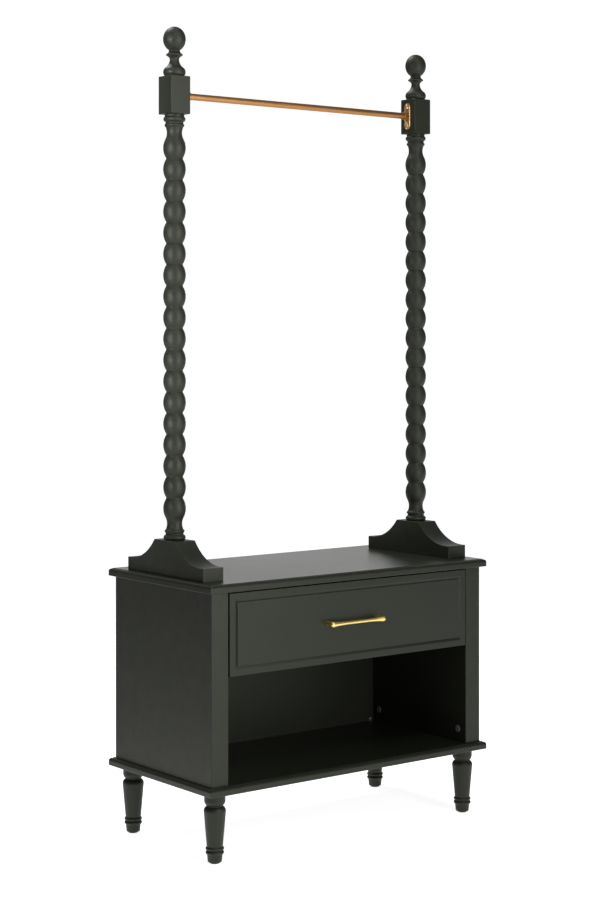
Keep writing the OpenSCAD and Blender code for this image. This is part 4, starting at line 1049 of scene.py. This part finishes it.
class RACK_OT_handle(RackOperator, Operator):
    """Make the bar handle with its flared ends and its two posts"""

    bl_idname = "rack.handle"
    bl_label = "Handle"

    def execute(self, context):
        low, high, middle = node_box("drawer_handle")
        half = (high[0] - low[0]) / 2
        end_radius, bar = 6.8 * MM, 3.9 * MM
        flare = half - end_radius
        turn = np.linspace(0, QUARTER, 13)[1:]
        ball = np.stack([end_radius * np.cos(turn), flare + end_radius * np.sin(turn)], axis=1)
        right = np.concatenate([outline([(bar, 0), (bar, 0.3 * flare), (end_radius, flare, -0.9 * MM)]), ball])
        line = filmed_line(np.concatenate([(right * [1, -1])[:0:-1], right]), 0.3 * MM)
        line[0], line[-1] = (0, -half), (0, half)
        axis_y = low[1] + end_radius
        rail = placed(revolved(line, FITTING_SEGMENTS), (middle[0], axis_y, middle[2]), to_side(1))
        reach = high[1] - axis_y
        foot = outline([(6.7 * MM, 0), (6.7 * MM, 1.2 * MM), (6 * MM, 0.5 * reach, -0.3 * MM), (6.2 * MM, reach)])
        foot = revolved(filmed_line(foot, 0.25 * MM), SMALL_SEGMENTS)
        posts = [placed(foot, (middle[0] + x, high[1], middle[2]), TO_FRONT)
                 for x in (-HANDLE_POST_REACH, HANDLE_POST_REACH)]
        make_piece("handle_bar", joined(rail, *posts), "handle", "drawer_handle", body="drawer")
        return {"FINISHED"}


class RACK_OT_drawer_box(RackOperator, Operator):
    """Make the drawer box's boards with eased edges"""

    bl_idname = "rack.drawer_box"
    bl_label = "Drawer Box"

    def execute(self, context):
        for node, use in (("drawer_left_side", "foil"), ("drawer_right_side", "foil"), ("drawer_back", "foil_across"),
                          ("drawer_inner_front", "foil_across")):
            low, high, _ = node_box(node)
            board = slab_between(low, high, [context.scene.rack_sizes.joint_radius] * 4, SANDED_EDGE)
            make_piece(f"{node}_board", board, use, node, body="drawer")
        return {"FINISHED"}


class RACK_OT_small_fittings(RackOperator, Operator):
    """Make the round cam covers, the back panel's clips and the glides under the legs"""

    bl_idname = "rack.small_fittings"
    bl_label = "Covers, Clips and Glides"

    def execute(self, context):
        for name, node, form in (
                ("cam_cover_caps", "cam_covers", self.cover), ("clip_heads", "back_panel_clips", self.clip),
                ("glide_pads", "leg_glides", self.glide)):
            make_piece(name, joined(*[form(low, high) for low, high in solid_boxes(node)]), "plastic", node)
        return {"FINISHED"}

    def cover(self, low, high):
        """A flat cap with a rounded rim and a small dimple, on the inner face of a side."""
        radius, thick = (high[2] - low[2]) / 2, high[0] - low[0]
        middle = (low + high) / 2
        inward = -1 if middle[0] > 0 else 1
        cap = revolved(np.array([
            (radius, 0), (radius, 0.4 * thick), (0.97 * radius, 0.8 * thick), (0.9 * radius, thick),
            (0.3 * radius, thick), (0.22 * radius, 0.8 * thick), (0, 0.75 * thick)]), FITTING_SEGMENTS)
        back = high[0] if inward < 0 else low[0]
        return placed(cap, (back, middle[1], middle[2]), to_side(inward))

    def clip(self, low, high):
        """The round head of a clip, on the front of the back panel, with its stem behind it."""
        radius, middle = (high[2] - low[2]) / 2, (low + high) / 2
        head, stem, depth = 2.5 * MM, 2 * MM, high[1] - low[1]
        button = revolved(np.array([
            (0, head - depth), (stem, head - depth), (stem, -0.1 * head), (radius, 0), (radius, 0.4 * head),
            (0.86 * radius, 0.86 * head), (0.6 * radius, head), (0, head)]), SMALL_SEGMENTS)
        return placed(button, (middle[0], low[1] + head, middle[2]), TO_FRONT)

    def glide(self, low, high):
        """A pad with a rounded foot under a leg, and the pin that holds it."""
        radius, pin, thick = (high[0] - low[0]) / 2, 1.5 * MM, 3 * MM
        pad = revolved(np.array([
            (0, 0), (0.82 * radius, 0), (0.93 * radius, 0.4 * MM), (radius, 1.3 * MM), (radius, thick), (pin, thick),
            (pin, high[2] - 2 * MM), (0, high[2])]), SMALL_SEGMENTS)
        return stood(pad, (low + high) / 2)


class RACK_OT_screws(RackOperator, Operator):
    """Make the pan-head screws of the drawer front, the handle and the slides"""

    bl_idname = "rack.screws"
    bl_label = "Screws"

    def execute(self, context):
        head = SCREW_HEAD_HEIGHT
        for node, body, head_radius in (
                ("drawer_front_screws", "drawer", 3.5 * MM), ("handle_screws", "drawer", 4 * MM),
                ("slide_cabinet_screws", "cabinet", 3.5 * MM), ("slide_drawer_screws", "drawer", 3.5 * MM)):
            screws = []
            for low, high in solid_boxes(node):
                middle = (low + high) / 2
                if node.startswith("slide"):
                    side = 1 if middle[0] > 0 else -1
                    out = side if body == "drawer" else -side
                    length = high[0] - low[0] - head
                    foot = (high[0] if out > 0 else low[0]) - out * head
                    start, axes = (foot, middle[1], middle[2]), to_side(out)
                else:
                    length = high[1] - low[1] - head
                    start, axes = (middle[0], high[1] - head, middle[2]), TO_REAR
                screws.append(placed(pan_screw(head_radius, head, SCREW_SHANK_RADIUS, length), start, axes))
            make_piece(f"{node}_pan", joined(*screws), "zinc", node, body=body)
        return {"FINISHED"}


# Finish of each CAD node, whether it stays in sight or a piece stands for it. All others are painted as the sides are.
NODE_FINISHES = {
    "inside": ["left_lining_panel", "right_lining_panel", "back_panel", "drawer_divider"],
    "plastic": ["back_panel_clips", "cam_covers", "leg_glides"],
    "zinc": [
        "leg_bolts", "leg_inserts", "cam_locks", "cam_bolts", "base_screws", "post_bolts", "post_inserts",
        "finial_dowel_screws", "slide_cabinet_screws", "slide_drawer_screws", "drawer_box_screws",
        "drawer_front_screws", "handle_screws"],
    "rolled_zinc": [f"{side}_slide_{part}_member" for side in SIDES for part in ("cabinet", "middle", "drawer")],
    "beech": ["dowels", "divider_dowels"],
    "foil": ["drawer_left_side", "drawer_right_side"],
    "foil_across": ["drawer_inner_front", "drawer_back", "drawer_bottom"],
}


class RACK_OT_node_finishes(RackOperator, Operator):
    """Give each carried-over CAD node its finish"""

    bl_idname = "rack.node_finishes"
    bl_label = "Finishes of the CAD Nodes"

    def execute(self, context):
        finish_of = {node: use for use, nodes in NODE_FINISHES.items() for node in nodes}
        for node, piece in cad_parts.items():
            piece.data.materials.clear()
            piece.data.materials.append(material_for(finish_of.get(node, "side")))
        return {"FINISHED"}


# Lamps: name, place, what it points at, width and height in metres, power in watts, spread of the light in degrees
LAMPS = (
    ("front_strip", (0.125, -2.1, 1.35), (-0.6, 0.0, 1.25), (0.6, 1.9), 11, 90),
    ("left_strip", (-1.06, -0.12, 1.35), (-0.154, 0.30, 1.35), (0.24, 1.1), 3.2, 50),
    ("front_softbox", (-0.4, -2.8, 4.2), (0.0, 0.0, 0.8), (2.0, 1.2), 28, 180),
    ("sky_softbox", (-0.8, -1.2, 5.0), (0.0, 0.0, 0.5), (3.5, 3.5), 30, 180),
    ("back_softbox", (-0.5, 2.6, 5.2), (0.0, 0.2, 0.6), (1.6, 1.6), 60, 120),
)

# The photograph's camera: its place in metres, the frame's height, the focal length and the horizon's height in the
# frame in pixels, and the film's width in millimetres
CAMERA_PLACE = (-2.74693, -3.52997, 1.14399)
FRAME_HEIGHT, FOCAL_LENGTH, HORIZON = 900, 1921.51, 330.77
FILM_WIDTH = 36.0

# Floor and sweep in metres: half of the floor's side, where the sweep starts behind the rack and how far it runs, its
# half width there and how much that grows, its height, how late it climbs, and its rise over the floor
FLOOR_REACH = 14
SWEEP_START, SWEEP_RUN = 2.4, 7.2
SWEEP_BREADTH, SWEEP_GROWTH = 2.6, 3.4
SWEEP_HEIGHT, SWEEP_POWER, SWEEP_RISE = 6.5, 8, 0.0005

# Left edge of the floor's glow: its turn from the view, where the glow ends and is full, and the share left beyond it
# The glow's fall beyond this edge is a painted reflection: it darkens what the rack's left side mirrors
GLOW_EDGE_TURN = math.radians(8.9)
GLOW_END, GLOW_FULL = -1.15, -0.72
GLOW_SHARE = 0.12


class RACK_OT_stage(RackOperator, Operator):
    """Set the floor, the studio lights, the room and the camera"""

    bl_idname = "rack.stage"
    bl_label = "Stage"

    def execute(self, context):
        studio = context.scene.rack_studio
        self.make_floor(context, studio)
        self.make_room(context, studio)
        self.make_lights(context)
        self.make_camera(context, studio)
        context.scene.view_settings.view_transform = "Standard"
        return {"FINISHED"}

    def make_floor(self, context, studio):
        """A level floor, and a sweep behind the rack that stays level and then climbs: along its depth t from 0 to 1
        its height is the sweep's full height times t to the sweep's power."""
        side = np.linspace(-FLOOR_REACH, FLOOR_REACH, 15)
        x, y = np.meshgrid(side, side)
        level = np.stack([x, y, np.zeros_like(x)], axis=-1)
        away = np.array([-math.sin(studio.view_azimuth), math.cos(studio.view_azimuth)])
        across = np.array([away[1], -away[0]])
        t, s = np.meshgrid(np.linspace(0, 1, 60), np.linspace(-1, 1, 9), indexing="ij")
        depth, breadth = SWEEP_START + SWEEP_RUN * t, s * (SWEEP_BREADTH + SWEEP_GROWTH * t)
        plan = depth[..., None] * away + breadth[..., None] * across
        sweep = np.concatenate([plan, (SWEEP_RISE + SWEEP_HEIGHT * t ** SWEEP_POWER)[..., None]], axis=-1)
        white = self.white_material("studio_white", studio)
        for name, grid in (("studio_floor", level), ("studio_sweep", sweep)):
            mesh = bpy.data.meshes.new(name)
            faces = ring_faces(*grid.shape[:2], closed=False)
            mesh.from_pydata(grid.reshape(-1, 3).tolist(), [], faces.tolist())
            mesh.materials.append(white)
            piece = bpy.data.objects.new(name, mesh)
            context.scene.collection.objects.link(piece)

    def white_material(self, name, studio):
        """A matt pale surface. Camera, glossy and transmission rays see it lifted to white, and its shadow stays.
        Beyond the left edge of its glow, a line at an angle to the sweep, the lift falls to a small share: a painted
        reflection that darkens the rack's left side."""
        material = bpy.data.materials.new(name)
        material.use_nodes = True
        g = Graph(material.node_tree)
        shader = material.node_tree.nodes["Principled BSDF"]
        place = g.node("ShaderNodeTexCoord", "Place").outputs["Object"]
        mottle = g.noise(place, 3.0, 2.0, 0.5, "Faint mottle")
        pale = opaque(c * 0.985 for c in studio.floor)
        for socket, value in (("Base Color", g.mix(mottle, opaque(studio.floor), pale, "Floor colour")),
                              ("Roughness", 0.8), ("Specular IOR Level", 0.0)):
            g.give(shader.inputs[socket], value)
        # Painted reflection: the floor's glow, which the rack's left side mirrors, falls to a small share beyond a line
        # left of the rack
        turned = g.mapped(place, "In line with the glow's edge", Rotation=(0, 0, -studio.view_azimuth - GLOW_EDGE_TURN))
        across = g.node("ShaderNodeSeparateXYZ", "Across the edge", {0: turned}).outputs["X"]
        floor_glow = g.between(across, GLOW_SHARE, 1.0, "Floor glow", low=GLOW_END, high=GLOW_FULL,
                          interpolation_type="SMOOTHSTEP")
        strength = g.times(g.times(self.seen_rays(g), floor_glow), studio.white_lift, "Lift")
        glow = g.node("ShaderNodeEmission", "Lift to white", {"Strength": strength})
        both = g.node("ShaderNodeAddShader", "Lit and lifted", {0: shader.outputs[0], 1: glow.outputs[0]})
        g.tree.links.new(both.outputs[0], material.node_tree.nodes["Material Output"].inputs["Surface"])
        return material

    def seen_rays(self, g):
        """1 for the rays that see a surface, directly, mirrored or through glass, and 0 for those that light the
        scene."""
        rays = g.node("ShaderNodeLightPath", "Rays").outputs
        mirrored = g.math("MAXIMUM", rays["Is Glossy Ray"], rays["Is Transmission Ray"], "Mirrored")
        return g.math("MAXIMUM", rays["Is Camera Ray"], mirrored, "Seen")

    def make_room(self, context, studio):
        """The even light of the room."""
        world = bpy.data.worlds.new("studio_room")
        world.use_nodes = True
        back = world.node_tree.nodes["Background"]
        back.inputs["Strength"].default_value = studio.fill
        back.inputs["Color"].default_value = (1, 1, 1, 1)
        context.scene.world = world

    def make_lights(self, context):
        """The area lamps, each turned to what it points at."""
        for name, place, target, size, power, spread in LAMPS:
            lamp = bpy.data.lights.new(name, "AREA")
            lamp.shape, lamp.size, lamp.size_y, lamp.energy = "RECTANGLE", size[0], size[1], power
            lamp.spread = math.radians(spread)
            light = bpy.data.objects.new(name, lamp)
            light.location = place
            light.rotation_mode = "QUATERNION"
            light.rotation_quaternion = (Vector(target) - Vector(place)).to_track_quat("-Z", "Y")
            light.visible_camera = False
            context.scene.collection.objects.link(light)

    def make_camera(self, context, studio):
        """The camera stands level, and its shift puts the horizon where the photograph has it."""
        lens = bpy.data.cameras.new("photo_camera")
        lens.sensor_width = FILM_WIDTH
        lens.lens = FOCAL_LENGTH / FRAME_HEIGHT * FILM_WIDTH
        lens.shift_y = (HORIZON - FRAME_HEIGHT / 2) / FRAME_HEIGHT
        camera = bpy.data.objects.new("photo_camera", lens)
        camera.location = CAMERA_PLACE
        camera.rotation_mode = "XYZ"
        camera.rotation_euler = (QUARTER, studio.view_roll, studio.view_azimuth)
        context.scene.collection.objects.link(camera)
        context.scene.camera = camera


OPERATORS = (
    RACK_OT_boards, RACK_OT_sides, RACK_OT_legs, RACK_OT_post_bases, RACK_OT_posts, RACK_OT_finials, RACK_OT_rod,
    RACK_OT_drawer_front, RACK_OT_handle, RACK_OT_drawer_box, RACK_OT_small_fittings, RACK_OT_screws,
    RACK_OT_node_finishes, RACK_OT_stage)
SETTINGS = {"rack_sizes": RackSizes, "rack_finishes": RackFinishes, "rack_studio": RackStudio}


class RACK_PT_pieces(Panel):
    """Lists the rack's pieces, sizes and finishes"""

    bl_idname = "RACK_PT_pieces"
    bl_label = "Clothing Rack"
    bl_space_type = "VIEW_3D"
    bl_region_type = "UI"
    bl_category = "Rack"

    def draw(self, context):
        for operator in OPERATORS:
            self.layout.operator(operator.bl_idname)
        for group, settings in SETTINGS.items():
            box = self.layout.box()
            for name in settings.__annotations__:
                box.prop(getattr(context.scene, group), name)


CLASSES = (*SETTINGS.values(), *OPERATORS, RACK_PT_pieces)


def register():
    for cls in CLASSES:
        bpy.utils.register_class(cls)
    for name, settings in SETTINGS.items():
        setattr(bpy.types.Scene, name, PointerProperty(type=settings))


def unregister():
    for name in SETTINGS:
        delattr(bpy.types.Scene, name)
    for cls in reversed(CLASSES):
        bpy.utils.unregister_class(cls)


def main():
    register()
    for operator in OPERATORS:
        area, name = operator.bl_idname.split(".")
        getattr(getattr(bpy.ops, area), name)()


if __name__ == "__main__":
    main()
